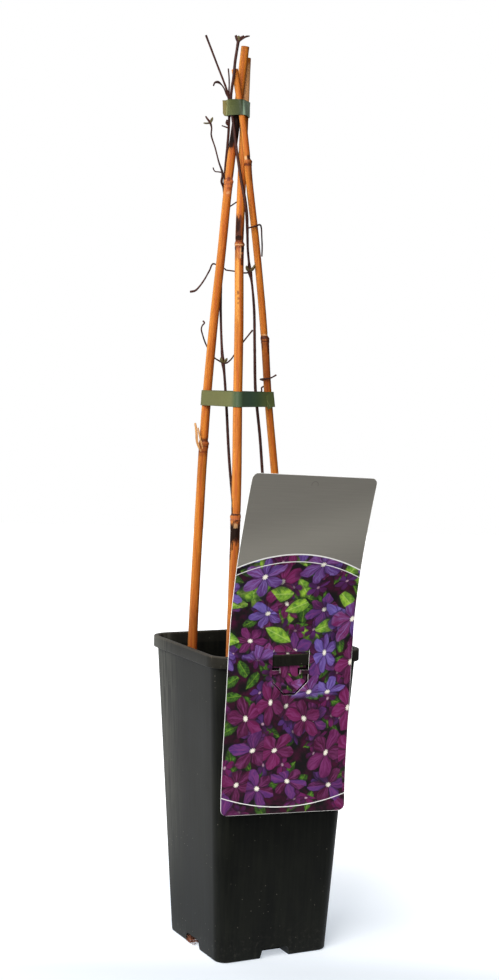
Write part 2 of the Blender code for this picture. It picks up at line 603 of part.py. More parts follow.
def makeUpperTie(mat):
    """Round the canes and both stems; both ends meet in a tab at the left."""
    rows = []
    for z in tapeHeights(UPPER_TIE):
        first = stemCircle(STEM_LEFT, z)
        last = stemCircle(STEM_RIGHT, z)
        canes = [caneCircle(name, z) for name in ("cane_middle", "cane_right")]
        tab = []
        for side in (1, -1):
            aside = side * TAPE_LAYER / 2
            tab.append([(first[0] + TAB_WAY[0] * reach + TAB_WAY[1] * aside,
                         first[1] + TAB_WAY[1] * reach - TAB_WAY[0] * aside, 0) for reach in TAB])
        rows.append((z, beltPath([*reversed(tab[0]), *canes, last, *tab[1]])))
    addObject("tie_upper", tapeMesh(rows, 0.0, "tie_upper"), mat)


def cardRows():
    """The card's rows: distance from the rim, then y and z of its front and of its back."""
    span = [along for along, _ in CARD_PROFILE]
    forward = [out for _, out in CARD_PROFILE]
    rim = span.index(0)
    heights = [0.0]
    for i in range(1, len(span)):
        run = span[i] - span[i - 1]
        heights.append(heights[-1] + math.sqrt(run ** 2 - (forward[i] - forward[i - 1]) ** 2))
    middle = [(CARD_Y - out, CARD_Z + height - heights[rim]) for out, height in zip(forward, heights)]
    return (span, *thicken(middle))


def tongueRows():
    """The tongue's rows, from its tip up to its hinge in the card."""
    span = [TONGUE[0][0]]
    for p, q in zip(TONGUE_PATH, TONGUE_PATH[1:]):
        span.append(span[-1] - math.dist(p, q))
    return (span[::-1], *thicken(TONGUE_PATH[::-1]))


def sheetPoint(rows, along, front):
    """Y and Z of a sheet's front or back at a distance from the rim."""
    span, frontY, frontZ, backY, backZ = rows
    if front:
        return float(np.interp(along, span, frontY)), float(np.interp(along, span, frontZ))
    return float(np.interp(along, span, backY)), float(np.interp(along, span, backZ))


def thicken(middle):
    """Front and back lines beside a middle line in Y and Z, half the card's thickness away."""
    front = []
    back = []
    for i, point in enumerate(middle):
        before = middle[max(i - 1, 0)]
        after = middle[min(i + 1, len(middle) - 1)]
        into = Vector((point[0] - before[0], point[1] - before[1]))
        out = Vector((after[0] - point[0], after[1] - point[1]))
        into = (into if into.length > 0 else out).normalized()
        out = (out if out.length > 0 else into).normalized()
        bend = (into + out).normalized()
        normal = Vector((-bend.y, bend.x)) * (CARD / 2 / max(0.5, bend.dot(into)))
        front.append((point[0] + normal.x, point[1] + normal.y))
        back.append((point[0] - normal.x, point[1] - normal.y))
    return ([p[0] for p in front], [p[1] for p in front], [p[0] for p in back], [p[1] for p in back])


def cardOutline():
    half = CARD_WIDTH / 2
    loop = []
    for quarter in range(4):
        cx = (half - CARD_CORNER) * (1 if quarter in (0, 3) else -1)
        cy = CARD_ABOVE - CARD_CORNER if quarter in (0, 1) else -CARD_BELOW + CARD_CORNER
        for k in range(CORNER_ARC + 1):
            angle = quarter * math.pi / 2 + math.pi / 2 * k / CORNER_ARC
            loop.append((cx + CARD_CORNER * math.cos(angle), cy + CARD_CORNER * math.sin(angle)))
    return loop


def kerfOutline():
    """The U of cut-away card between the tongue and the rest, as one loop."""
    outer = [(half, along) for along, half in TONGUE_HOLE]
    inner = [(half, along) for along, half in TONGUE]
    outer += [(-x, along) for x, along in reversed(outer)]
    inner += [(-x, along) for x, along in reversed(inner)]
    return outer + inner[::-1]


def inTongue(x, along):
    if along > TONGUE[0][0] - EDGE_NEAR:
        return False
    for (upper, wide), (lower, narrow) in zip(TONGUE, TONGUE[1:]):
        if upper > lower and upper + EDGE_NEAR >= along >= lower - EDGE_NEAR:
            part = (upper - along) / (upper - lower)
            if abs(x) <= wide + (narrow - wide) * part + EDGE_NEAR:
                return True
    return False


def turnCard(x, y, z):
    """The card hangs a little turned, clockwise seen from the front."""
    up = z - CARD_Z
    return Vector((CARD_X + x * math.cos(CARD_ROLL) + up * math.sin(CARD_ROLL), y,
                   CARD_Z - x * math.sin(CARD_ROLL) + up * math.cos(CARD_ROLL)))


def makeLabel(mat):
    """A flat card with its tongue cut free, scored at every row and then bent into place."""
    label = prism(cardOutline(), 0, CARD, "label")
    combine(label, [prism(kerfOutline(), -CUT, CARD + CUT, "kerf")], "DIFFERENCE")
    card = cardRows()
    tongue = tongueRows()
    bm = bmesh.new()
    bm.from_mesh(label.data)
    bmesh.ops.connect_verts_concave(bm, faces=bm.faces)
    for along in card[0][1:-1] + tongue[0][:-1]:
        geom = list(bm.verts) + list(bm.edges) + list(bm.faces)
        bmesh.ops.bisect_plane(bm, geom=geom, dist=0.00001, plane_co=(0, along * MM, 0),
                               plane_no=(0, 1, 0))
    for vert in bm.verts:
        x, along, depth = vert.co / MM
        rows = tongue if inTongue(x, along) else card
        y, z = sheetPoint(rows, along, depth > CARD / 2)
        vert.co = turnCard(x, y, z) * MM
    bm.to_mesh(label.data)
    bm.free()
    label.data.materials.append(mat)


for old in list(bpy.data.objects):
    bpy.data.objects.remove(old)

materials = {key: makeMaterial(key) for key in COLOURS}
makePot(materials["pot"])
makeSoil(materials["soil"])
for caneName in CANES:
    makeCane(caneName, materials["bamboo"])
makeStem("stem_left", STEM_LEFT, STEM_LEFT_PARTS, materials["stem"])
makeStem("stem_right", STEM_RIGHT, STEM_RIGHT_PARTS, materials["stem"])
makeLowerTie(materials["tape"])
makeUpperTie(materials["tape"])
makeLabel(materials["card"])
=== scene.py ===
import math
import random

import bmesh
import bpy
import numpy as np
from mathutils import Euler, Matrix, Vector, noise


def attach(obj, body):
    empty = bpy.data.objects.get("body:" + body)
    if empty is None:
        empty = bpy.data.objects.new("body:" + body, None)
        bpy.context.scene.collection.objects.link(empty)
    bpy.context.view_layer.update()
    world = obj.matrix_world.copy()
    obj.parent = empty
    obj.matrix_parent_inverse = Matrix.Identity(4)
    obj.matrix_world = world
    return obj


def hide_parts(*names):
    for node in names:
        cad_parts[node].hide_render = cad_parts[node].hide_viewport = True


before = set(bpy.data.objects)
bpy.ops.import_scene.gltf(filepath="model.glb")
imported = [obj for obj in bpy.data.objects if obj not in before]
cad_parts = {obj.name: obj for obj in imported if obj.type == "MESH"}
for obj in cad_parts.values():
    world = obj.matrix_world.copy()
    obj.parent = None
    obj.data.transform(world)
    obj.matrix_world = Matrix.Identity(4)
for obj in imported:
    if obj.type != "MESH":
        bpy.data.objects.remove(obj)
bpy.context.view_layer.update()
mm = 0.001

# Directions on the ground, as seen in the picture: towards the viewer and to the right
toViewer = Vector((-0.449, -0.894, 0))
toRight = Vector((0.894, -0.449, 0))


# Node wiring

class Wire:
    # a socket that can stand in a sum
    def __init__(self, tree, socket):
        self.tree = tree
        self.socket = socket

    def math(self, operation, *others):
        return self.tree.add("ShaderNodeMath", {"operation": operation}, dict(enumerate((self, *others))))

    def __add__(self, other):
        return self.math("ADD", other)

    def __sub__(self, other):
        return self.math("SUBTRACT", other)

    def __mul__(self, other):
        return self.math("MULTIPLY", other)

    def __truediv__(self, other):
        return self.math("DIVIDE", other)

    def __pow__(self, other):
        return self.math("POWER", other)

    def __rsub__(self, other):
        return self.tree.add("ShaderNodeMath", {"operation": "SUBTRACT"}, {0: other, 1: self})

    __radd__ = __add__
    __rmul__ = __mul__

    def atLeast(self, other):
        return self.math("MAXIMUM", other)

    def size(self):
        return self.math("ABSOLUTE")

    def step(self, start, end):
        # eases from 0 at start to 1 at end; start may be the larger one
        ends = {1: start, 2: end, 3: 0.0, 4: 1.0} if start < end else {1: end, 2: start, 3: 1.0, 4: 0.0}
        return self.tree.add("ShaderNodeMapRange", {"interpolation_type": "SMOOTHSTEP", "clamp": True},
                             {0: self, **ends})

    def parts(self):
        node = self.tree.nodes.new("ShaderNodeSeparateXYZ")
        self.tree.links.new(self.socket, node.inputs[0])
        return [Wire(self.tree, output) for output in node.outputs]


class Tree:
    def __init__(self, nodeTree):
        self.nodes = nodeTree.nodes
        self.links = nodeTree.links

    def add(self, kind, settings=None, values=None, out=0):
        node = self.nodes.new(kind)
        for key, value in (settings or {}).items():
            if key == "stops":
                self.setStops(node.color_ramp, value)
            else:
                setattr(node, key, value)
        for key, value in (values or {}).items():
            if isinstance(value, Wire):
                self.links.new(value.socket, node.inputs[key])
            else:
                node.inputs[key].default_value = value
        return Wire(self, node.outputs[out])

    def setStops(self, ramp, stops):
        while len(ramp.elements) < len(stops):
            ramp.elements.new(0.5)
        for element, (place, colour) in zip(ramp.elements, stops):
            element.position = place
            element.color = colour

    def vector(self, x, y, z=0.0):
        return self.add("ShaderNodeCombineXYZ", {}, {0: x, 1: y, 2: z})

    def scaled(self, vector, factor):
        return self.add("ShaderNodeVectorMath", {"operation": "SCALE"}, {0: vector, "Scale": factor})

    def sum(self, first, second):
        return self.add("ShaderNodeVectorMath", {"operation": "ADD"}, {0: first, 1: second})

    def noise(self, vector, scale=1.0, detail=2.0, rough=0.5):
        return self.add("ShaderNodeTexNoise", {},
                        {"Vector": vector, "Scale": scale, "Detail": detail, "Roughness": rough})

    def blend(self, factor, first, second, mode="MIX"):
        return self.add("ShaderNodeMix", {"data_type": "RGBA", "blend_type": mode},
                        {0: factor, 6: first, 7: second}, out=2)


class Finish(Tree):
    # a material, its shader and its tree
    def __init__(self, name, **constants):
        self.material = bpy.data.materials.new(name)
        self.material.use_nodes = True
        super().__init__(self.material.node_tree)
        self.shader = self.nodes["Principled BSDF"]
        for key, value in constants.items():
            self.shader.inputs[key.replace("_", " ")].default_value = value

    def feed(self, socketName, wire):
        self.links.new(wire.socket, self.shader.inputs[socketName])

    def close(self, colour, roughness, height=None, depth=0.0):
        # depth in metres for a height from 0 to 1
        self.feed("Base Color", colour)
        self.feed("Roughness", roughness)
        if height:
            self.feed("Normal", self.add("ShaderNodeBump", {}, {"Strength": 1.0, "Distance": depth,
                                                                "Height": height}))
        return self.material

    def place(self):
        # object coordinates in millimetres
        where = self.add("ShaderNodeTexCoord", {}, {}, out="Object")
        return self.scaled(where, 1 / mm)

    def attribute(self, name, out="Fac"):
        return self.add("ShaderNodeAttribute", {"attribute_name": name}, {}, out=out)


def distance(x, y):
    return (x * x + y * y).math("SQRT")


def rgb(red, green, blue):
    # a colour as it looks on screen, 0 to 255, made linear
    def linear(level):
        level = level / 255
        return level / 12.92 if level <= 0.04045 else ((level + 0.055) / 1.055) ** 2.4
    return (linear(red), linear(green), linear(blue), 1.0)


class Growth(Tree):
    # a geometry node group with named inputs
    def __init__(self, name, inputs):
        self.group = bpy.data.node_groups.new(name, "GeometryNodeTree")
        super().__init__(self.group)
        self.group.interface.new_socket("Geometry", in_out="INPUT", socket_type="NodeSocketGeometry")
        self.group.interface.new_socket("Geometry", in_out="OUTPUT", socket_type="NodeSocketGeometry")
        for key, kind, value in inputs:
            socket = self.group.interface.new_socket(key, in_out="INPUT", socket_type="NodeSocket" + kind)
            if value is not None:
                socket.default_value = value
        self.start = self.nodes.new("NodeGroupInput")
        self.end = self.nodes.new("NodeGroupOutput")

    def given(self, name):
        return Wire(self, self.start.outputs[name])

    def close(self, geometry, material):
        real = self.add("GeometryNodeRealizeInstances", {}, {0: geometry})
        dressed = self.add("GeometryNodeSetMaterial", {}, {"Geometry": real, "Material": material})
        self.links.new(dressed.socket, self.end.inputs[0])


def grow(growth, mesh, name, **inputs):
    # runs a node group on a mesh and gives the plain mesh that comes out
    seedling = bpy.data.objects.new(name + "Seedling", mesh)
    bpy.context.scene.collection.objects.link(seedling)
    modifier = seedling.modifiers.new("grow", "NODES")
    modifier.node_group = growth.group
    wanted = {key.lower(): value for key, value in inputs.items()}
    for item in growth.group.interface.items_tree:
        key = item.name.replace(" ", "").lower()
        if item.in_out == "INPUT" and key in wanted:
            modifier[item.identifier] = wanted[key]
    graph = bpy.context.evaluated_depsgraph_get()
    result = bpy.data.meshes.new_from_object(seedling.evaluated_get(graph), depsgraph=graph)
    result.name = name
    seedling.modifiers.remove(modifier)
    bpy.data.objects.remove(seedling)
    return result


# Mesh helpers; all points are in millimetres until they become a mesh

def addObject(name, mesh, finishes=(), smoothAngle=40):
    obj = bpy.data.objects.new(name, mesh)
    bpy.context.scene.collection.objects.link(obj)
    if finishes:
        picks = [face.material_index for face in mesh.polygons]
        mesh.materials.clear()
        for finish in finishes:
            mesh.materials.append(finish)
        mesh.polygons.foreach_set("material_index", picks)
    mesh.shade_smooth()
    mesh.set_sharp_from_angle(angle=math.radians(smoothAngle))
    return obj


def addPiece(name, mesh, finishes, replaced=None, smoothAngle=40):
    obj = addObject(name, mesh, finishes, smoothAngle)
    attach(obj, "root")
    if replaced:
        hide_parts(replaced)
    return obj


def meshFrom(bm, name, outward=True):
    if outward:
        bmesh.ops.recalc_face_normals(bm, faces=bm.faces)
    mesh = bpy.data.meshes.new(name)
    bm.to_mesh(mesh)
    bm.free()
    return mesh


def loft(loops, name, closed=True):
    # a skin over rings of points; closed adds a face at both ends
    bm = bmesh.new()
    rings = [[bm.verts.new(Vector(p) * mm) for p in loop] for loop in loops]
    count = len(rings[0])
    for low, high in zip(rings, rings[1:]):
        for i in range(count):
            j = (i + 1) % count
            bm.faces.new((low[i], low[j], high[j], high[i]))
    if closed:
        bm.faces.new(list(reversed(rings[0])))
        bm.faces.new(rings[-1])
    return meshFrom(bm, name, outward=closed)


def combine(mesh, others, operation, name):
    # boolean of a mesh with several others
    target = addObject(name + "Target", mesh)
    group = bpy.data.collections.new(name + "Tools")
    tools = [bpy.data.objects.new(f"{name}Tool{i}", other) for i, other in enumerate(others)]
    for tool in tools:
        group.objects.link(tool)
    modifier = target.modifiers.new("combine", "BOOLEAN")
    modifier.operand_type = "COLLECTION"
    modifier.collection = group
    modifier.operation = operation
    modifier.solver = "EXACT"
    result = settled(target, name)
    for tool in tools:
        bpy.data.objects.remove(tool)
    bpy.data.collections.remove(group)
    return result


def settled(obj, name):
    # the object's mesh as its modifiers make it; the object goes
    graph = bpy.context.evaluated_depsgraph_get()
    result = bpy.data.meshes.new_from_object(obj.evaluated_get(graph), depsgraph=graph)
    result.name = name
    bpy.data.objects.remove(obj)
    return result


def cleaned(mesh, near=0.004):
    bm = bmesh.new()
    bm.from_mesh(mesh)
    bmesh.ops.remove_doubles(bm, verts=bm.verts, dist=near * mm)
    bmesh.ops.dissolve_degenerate(bm, edges=bm.edges, dist=near * mm)
    bm.to_mesh(mesh)
    bm.free()
    return mesh


def arc(centre, radius, start, end, steps):
    # points of an arc in a plane, angles in degrees
    out = []
    for k in range(steps + 1):
        angle = math.radians(start + (end - start) * k / steps)
        out.append((centre[0] + radius * math.cos(angle), centre[1] + radius * math.sin(angle)))
    return out


def cornerArc(quarter, reachX, reachY, corner, steps):
    # one of the four round corners of an upright rectangle, anticlockwise from the right top one
    centre = (reachX if quarter in (0, 3) else -reachX, reachY if quarter in (0, 1) else -reachY)
    return arc(centre, corner, quarter * 90, quarter * 90 + 90, steps)


def mixed(p, q, start, end, t):
    return p + (q - p) * (t - start) / (end - start)


def smoothRoute(points, step):
    # points about one step apart on a smooth curve through the given ones
    pts = [np.array(p, float) for p in points]
    pts = [2 * pts[0] - pts[1]] + pts + [2 * pts[-1] - pts[-2]]
    out = []
    for a, b, c, d in zip(pts, pts[1:], pts[2:], pts[3:]):
        knots = [0.0]
        for p, q in ((a, b), (b, c), (c, d)):
            knots.append(knots[-1] + max(np.linalg.norm((q - p)[:3]), 1e-6) ** 0.5)
        count = max(1, round(np.linalg.norm((c - b)[:3]) / step))
        for k in range(count):
            t = knots[1] + (knots[2] - knots[1]) * k / count
            first = mixed(a, b, knots[0], knots[1], t)
            second = mixed(b, c, knots[1], knots[2], t)
            third = mixed(c, d, knots[2], knots[3], t)
            left = mixed(first, second, knots[0], knots[2], t)
            right = mixed(second, third, knots[1], knots[3], t)
            out.append(mixed(left, right, knots[1], knots[2], t))
    out.append(pts[-2])
    return np.array(out)


def routeAt(route, z):
    # the other columns of a route at a height
    fine = smoothRoute(route, 3.0)
    return [float(np.interp(z, fine[:, 2], fine[:, k])) for k in range(fine.shape[1]) if k != 2]


def strandMesh(strands, name):
    # lines of points (x, y, z, radius, tone) as edges, for the tube tree
    points = [row for strand in strands for row in strand]
    edges = []
    start = 0
    for strand in strands:
        edges += [(start + i, start + i + 1) for i in range(len(strand) - 1)]
        start += len(strand)
    mesh = bpy.data.meshes.new(name)
    mesh.from_pydata([Vector(p[:3]) * mm for p in points], edges, [])
    for key, column, factor in (("radius", 3, mm), ("tone", 4, 1.0)):
        layer = mesh.attributes.new(key, "FLOAT", "POINT")
        layer.data.foreach_set("value", [p[column] * factor for p in points])
    return mesh


def tubeTree():
    # a closed tube along each line, ribbed lengthwise; it keeps where each point lies on its line
    tree = Growth("tubeAlongLine", [("Sides", "Int", 12), ("Ribs", "Int", 0), ("Rib depth", "Float", 0.0),
                                    ("Finish", "Material", None)])
    curve = tree.add("GeometryNodeMeshToCurve", {}, {0: tree.given("Geometry")})
    radius = tree.add("GeometryNodeInputNamedAttribute", {"data_type": "FLOAT"}, {"Name": "radius"})
    middle = tree.add("GeometryNodeInputPosition")
    length = tree.add("GeometryNodeSplineParameter", {}, {}, out="Length")
    curve = tree.add("GeometryNodeStoreNamedAttribute", {"data_type": "FLOAT_VECTOR", "domain": "POINT"},
                     {"Geometry": curve, "Name": "middle", "Value": middle})
    curve = tree.add("GeometryNodeStoreNamedAttribute", {"data_type": "FLOAT", "domain": "POINT"},
                     {"Geometry": curve, "Name": "along", "Value": length / mm})
    ring = tree.add("GeometryNodeCurvePrimitiveCircle", {"mode": "RADIUS"},
                    {"Resolution": tree.given("Sides"), "Radius": 1.0})
    turn = tree.add("GeometryNodeSplineParameter") * (2 * math.pi)
    rib = (turn * tree.given("Ribs")).math("COSINE") * tree.given("Rib depth") + 1.0
    spot = tree.scaled(tree.add("GeometryNodeInputPosition"), rib)
    ring = tree.add("GeometryNodeSetPosition", {}, {"Geometry": ring, "Position": spot})
    tube = tree.add("GeometryNodeCurveToMesh", {}, {"Curve": curve, "Profile Curve": ring, "Scale": radius,
                                                    "Fill Caps": True})
    kept = tree.add("GeometryNodeInputNamedAttribute", {"data_type": "FLOAT_VECTOR"}, {"Name": "middle"})
    away = tree.add("ShaderNodeVectorMath", {"operation": "SUBTRACT"},
                    {0: tree.add("GeometryNodeInputPosition"), 1: kept})
    tube = tree.add("GeometryNodeStoreNamedAttribute", {"data_type": "FLOAT_VECTOR", "domain": "POINT"},
                    {"Geometry": tube, "Name": "offset", "Value": tree.scaled(away, 1 / mm)})
    tree.close(tube, tree.given("Finish"))
    return tree


def scatterTree():
    # bits of one shape strewn over a surface, each turned and stretched by chance
    tree = Growth("strewnBits", [("Bit", "Object", None), ("Density", "Float", 1.0), ("Seed", "Int", 1),
                                 ("Smallest", "Vector", (1, 1, 1)), ("Largest", "Vector", (1, 1, 1)),
                                 ("Tilt", "Float", 1.0), ("Finish", "Material", None)])
    points = tree.add("GeometryNodeDistributePointsOnFaces", {},
                      {"Mesh": tree.given("Geometry"), "Density": tree.given("Density"),
                       "Seed": tree.given("Seed")})
    bit = tree.add("GeometryNodeObjectInfo", {}, {"Object": tree.given("Bit")}, out="Geometry")
    tilt = tree.given("Tilt")
    spin = tree.add("FunctionNodeRandomValue", {"data_type": "FLOAT_VECTOR"},
                    {0: tree.vector(0.0 - tilt, 0.0 - tilt, -math.pi), 1: tree.vector(tilt, tilt, math.pi),
                     "Seed": tree.given("Seed")})
    size = tree.add("FunctionNodeRandomValue", {"data_type": "FLOAT_VECTOR"},
                    {0: tree.given("Smallest"), 1: tree.given("Largest"), "Seed": tree.given("Seed") + 7})
    turned = tree.add("FunctionNodeEulerToRotation", {}, {0: spin})
    strewn = tree.add("GeometryNodeInstanceOnPoints", {}, {"Points": points, "Instance": bit,
                                                           "Rotation": turned, "Scale": size})
    shade = tree.add("FunctionNodeRandomValue", {"data_type": "FLOAT"}, {2: 0.0, 3: 1.0, "Seed": 3}, out=1)
    strewn = tree.add("GeometryNodeStoreNamedAttribute", {"data_type": "FLOAT", "domain": "INSTANCE"},
                      {"Geometry": strewn, "Name": "shade", "Value": shade})
    tree.close(strewn, tree.given("Finish"))
    return tree


# Pot

potLook = {
    "height": 215.0, "footHalf": 43.0, "topHalf": 55.7, "wall": 1.2, "floor": 1.5, "floorInset": 1.5,
    "footEdge": 1.6, "footCorner": 9.0, "topCorner": 13.0,
    "lipHalf": 58.1, "lipHeight": 8.0, "lipWall": 1.0, "lipTop": 1.2, "lipEdge": 0.55,
    "notchWidth": 26.0, "notchHeight": 6.8, "notchDepth": 15.0, "notchSlope": 2.6, "notchCorner": 2.4,
    "houseInset": 0.6,                    # how far the notch's inner wall stays behind the pot's wall
    "drainRadius": 3.6, "drainReach": (-1.2, 2.4), "drainSides": 24,
    "slotHalf": 17.5, "slotEdge": 0.1, "slotDepth": 2.0,
    "past": 5.0,                          # how far a cutting block stands out
    "sag": 0.45,                          # how far the long walls bow in
    "cornerSteps": 10, "sideSteps": 6, "levels": 16,
    "dark": rgb(7, 8, 7), "grey": rgb(23, 24, 19), "dust": rgb(120, 114, 104),
    # the two colours on the next line are partly painted light: a highlight on worn edges, and a sheen on
    # the lit side
    "worn": rgb(96, 88, 76), "faded": rgb(92, 92, 84),
}


def potHalf(z):
    return potLook["footHalf"] + (potLook["topHalf"] - potLook["footHalf"]) * z / potLook["height"]


def potCorner(z):
    return potLook["footCorner"] + (potLook["topCorner"] - potLook["footCorner"]) * z / potLook["height"]


def potSag(z):
    return potLook["sag"] * math.sin(math.pi * z / potLook["height"])


def roundedSquare(half, corner, z, steps=potLook["cornerSteps"], bow=0.0):
    # a ring with round corners, its sides bowed in
    straight = potLook["sideSteps"]
    inner = half - corner
    loop = []
    for quarter in range(4):
        loop += [(x, y, z) for x, y in cornerArc(quarter, inner, inner, corner, steps)]
        turn = (quarter + 1) * math.pi / 2
        for k in range(1, straight):
            share = 1 - 2 * k / straight
            dip = half - bow * (1 - share ** 2)
            x = dip * math.cos(turn) + inner * share * math.sin(turn)
            y = dip * math.sin(turn) - inner * share * math.cos(turn)
            loop.append((x, y, z))
    return loop


def notchOutline(wider, bottom):
    look = potLook
    half = look["notchWidth"] / 2 + wider
    top = look["notchHeight"] + wider
    bend = look["notchCorner"]
    right = [(half, bottom)] + arc((half - look["notchSlope"] - bend, top - bend), bend, 0, 90, 4)
    return right + [(-x, z) for x, z in reversed(right)]


def notchBlock(wider, bottom, inner, outer, quarter, name):
    # the notch's outline drawn out from inner to outer, on one of the four sides
    turn = quarter * math.pi / 2
    loops = []
    for reach in (inner, outer):
        loops.append([(x * math.cos(turn) + reach * math.sin(turn),
                       x * math.sin(turn) - reach * math.cos(turn), z)
                      for x, z in notchOutline(wider, bottom)])
    return loft(loops, name)


def prism(outline, low, high, name):
    return loft([[(x, y, z) for x, y in outline] for z in (low, high)], name)


def potShell():
    # up the outside, round the folded lip and down the inside
    look = potLook
    height = look["height"]
    edge = look["lipEdge"]
    foot = look["footEdge"]
    under = height - look["lipTop"]
    low = height - look["lipHeight"]
    skirt = look["lipHalf"] - look["lipWall"]
    lipCorner = look["topCorner"] + look["lipHalf"] - look["topHalf"]
    levels = [foot + (under - foot) * k / look["levels"] for k in range(look["levels"] + 1)]
    outside = arc((look["footHalf"] - foot, foot), foot, -90, 0, 4)[:-1]
    outside += [(potHalf(z), z) for z in levels]
    lip = [(skirt, under), (skirt, low + edge / 2), (skirt + edge / 2, low)]
    lip += arc((look["lipHalf"] - edge, low + edge), edge, -90, 0, 3)
    lip += arc((look["lipHalf"] - edge, height - edge), edge, 0, 90, 4)
    inside = arc((potHalf(height) - look["wall"] + edge, height - edge), edge, 90, 180, 3)
    inside += [(potHalf(z) - look["wall"], z) for z in reversed(levels[1:-1])]
    inside += [(potHalf(look["floor"]) - look["wall"] - look["floorInset"], look["floor"])]
    loops = []
    for half, z in outside:
        loops.append(roundedSquare(half, potCorner(z) - foot + min(z, foot), z, bow=potSag(z)))
    for half, z in lip:
        loops.append(roundedSquare(half, lipCorner - (look["lipHalf"] - half), z, bow=look["sag"] / 2))
    for half, z in inside:
        loops.append(roundedSquare(half, potCorner(z) - look["wall"], z, bow=potSag(z)))
    return loft(loops, "pot")


def potBlocks():
    # the houses round the four notches, and what is cut: notches, drain holes and the label's slot
    look = potLook
    back = look["footHalf"] - look["notchDepth"]
    drain = back + look["notchDepth"] / 2
    low, high = [look["notchHeight"] + reach for reach in look["drainReach"]]
    houses = []
    cuts = []
    for q in range(4):
        houses.append(notchBlock(look["wall"], look["floor"] / 2, back - look["wall"],
                                 look["footHalf"] - look["houseInset"], q, f"house{q}"))
        cuts.append(notchBlock(0, -look["past"], back, look["footHalf"] + look["past"], q, f"notch{q}"))
        centre = (drain * math.sin(q * math.pi / 2), -drain * math.cos(q * math.pi / 2))
        hole = arc(centre, look["drainRadius"], 0, 360, look["drainSides"])[:-1]
        cuts.append(prism(hole, low, high, f"drain{q}"))
    top = look["height"] - look["lipTop"]
    near = look["lipHalf"] - look["lipWall"] - look["slotEdge"]
    far = potHalf(top) + look["slotEdge"]
    half = look["slotHalf"]
    slot = [(-half, -near), (half, -near), (half, -far), (-half, -far)]
    cuts.append(prism(slot, top - look["slotDepth"], look["height"] + look["past"], "slot"))
    return houses, cuts


def makePot():
    houses, cuts = potBlocks()
    shell = combine(potShell(), houses, "UNION", "potHouses")
    shell = cleaned(combine(shell, cuts, "DIFFERENCE", "potCuts"))
    addPiece("pot_square", shell, [potFinish()], "pot", smoothAngle=35)
    print("pot", len(shell.polygons), "faces")


def potFinish():
    look = potLook
    f = Finish("potPlastic", Specular_IOR_Level=0.09)
    place = f.place()
    x, y, z = place.parts()
    # faint upright streaks, clouds and grain, and a streaky painted sheen low on the back half of the left
    # side, which faces the lamps
    streaks = f.noise(f.vector(x * 0.35, y * 0.35, z * 0.012), detail=4, rough=0.6)
    cloud = f.noise(place, scale=0.03, detail=3)
    grain = f.noise(place, scale=1.6, detail=3, rough=0.65)
    level = streaks.step(0.3, 0.75) * 0.55 + cloud.step(0.3, 0.7) * 0.3 + grain * 0.15
    colour = f.blend(level, look["dark"], look["grey"])
    # painted sheen: a paler streaky patch on the lit left side
    faded = (0 - x).step(38, 46) * y.step(0, 50) * streaks.step(0.25, 0.65) * z.step(10, 110)
    colour = f.blend(faded * 0.5, colour, look["faded"])
    # a film of dust near the foot, and specks
    film = z.step(30, 0) * f.noise(place, scale=0.3, detail=5, rough=0.75).step(0.5, 0.8) * 0.16
    colour = f.blend(film, colour, look["dust"])
    cellValues = {"Vector": place, "Scale": 0.3, "Randomness": 1.0}
    cells = f.add("ShaderNodeTexVoronoi", {}, cellValues)
    chance = f.add("ShaderNodeTexVoronoi", {}, cellValues, out="Color").parts()[0]
    lucky = chance + z.step(150, 10) * 0.25
    speck = cells.step(0.12, 0.05) * lucky.step(0.86, 0.92)
    colour = f.blend(speck * 0.6, colour, look["dust"])
    # worn edges, paler with wear and with a painted highlight along the rim, the lip's lower edge and the
    # top of the corners
    scuffAndGlint = f.noise(f.vector(x * 0.9, y * 0.9, z * 0.25), detail=5, rough=0.7).step(0.55, 0.72)
    rim = z.step(look["height"] - 1.3, look["height"] - 0.2)
    corner = (x.size() + y.size()).step(102, 106) * z.step(190, 215)
    lip = z.step(look["height"] - look["lipHeight"] - 0.5, look["height"] - look["lipHeight"] + 0.5)
    colour = f.blend((rim * 0.6 + corner * 0.2 + lip * 0.12) * (scuffAndGlint * 0.7 + 0.3), colour, look["worn"])
    return f.close(colour, streaks * 0.14 + cloud * 0.1 + 0.36 + film * 0.6,
                   streaks * 0.6 + grain * 0.25, 0.00006)


# Compost

soilLook = {
    "top": 192.0, "relief": 2.2, "rings": 34, "steps": 22, "lumps": 1.5, "grain": 0.55,
    "room": 0.3, "stemRoom": 0.5,         # gaps to pot and canes, and to stems
    "over": 25.0,                         # how far the holes for canes reach past the top
    "foot": 3.0, "footInset": 1.5, "between": (60, 120), "calmRim": 12,
    # strewn bits: number to the square metre, seed, smallest and largest size in mm, tilt
    "bits": {"soil_crumbs": (170000, 11, (0.6, 0.6, 0.5), (2.7, 2.7, 1.9), 3.1),
             "bark_chips": (42000, 23, (1.4, 0.8, 0.35), (5.2, 2.4, 0.9), 0.6),
             "soil_fibres": (22000, 37, (2.5, 0.2, 0.2), (8.0, 0.4, 0.4), 0.35)},
    "wet": rgb(34, 24, 18), "peat": rgb(74, 50, 34), "bark": rgb(132, 84, 52), "straw": rgb(176, 136, 92),
}


def soilHeight(x, y):
    lumps = math.sin(x * 0.21 + 1.3) * math.cos(y * 0.17 - 0.4) + 0.6 * math.sin(x * 0.43 + y * 0.37)
    return soilLook["top"] + soilLook["relief"] * 0.5 * lumps


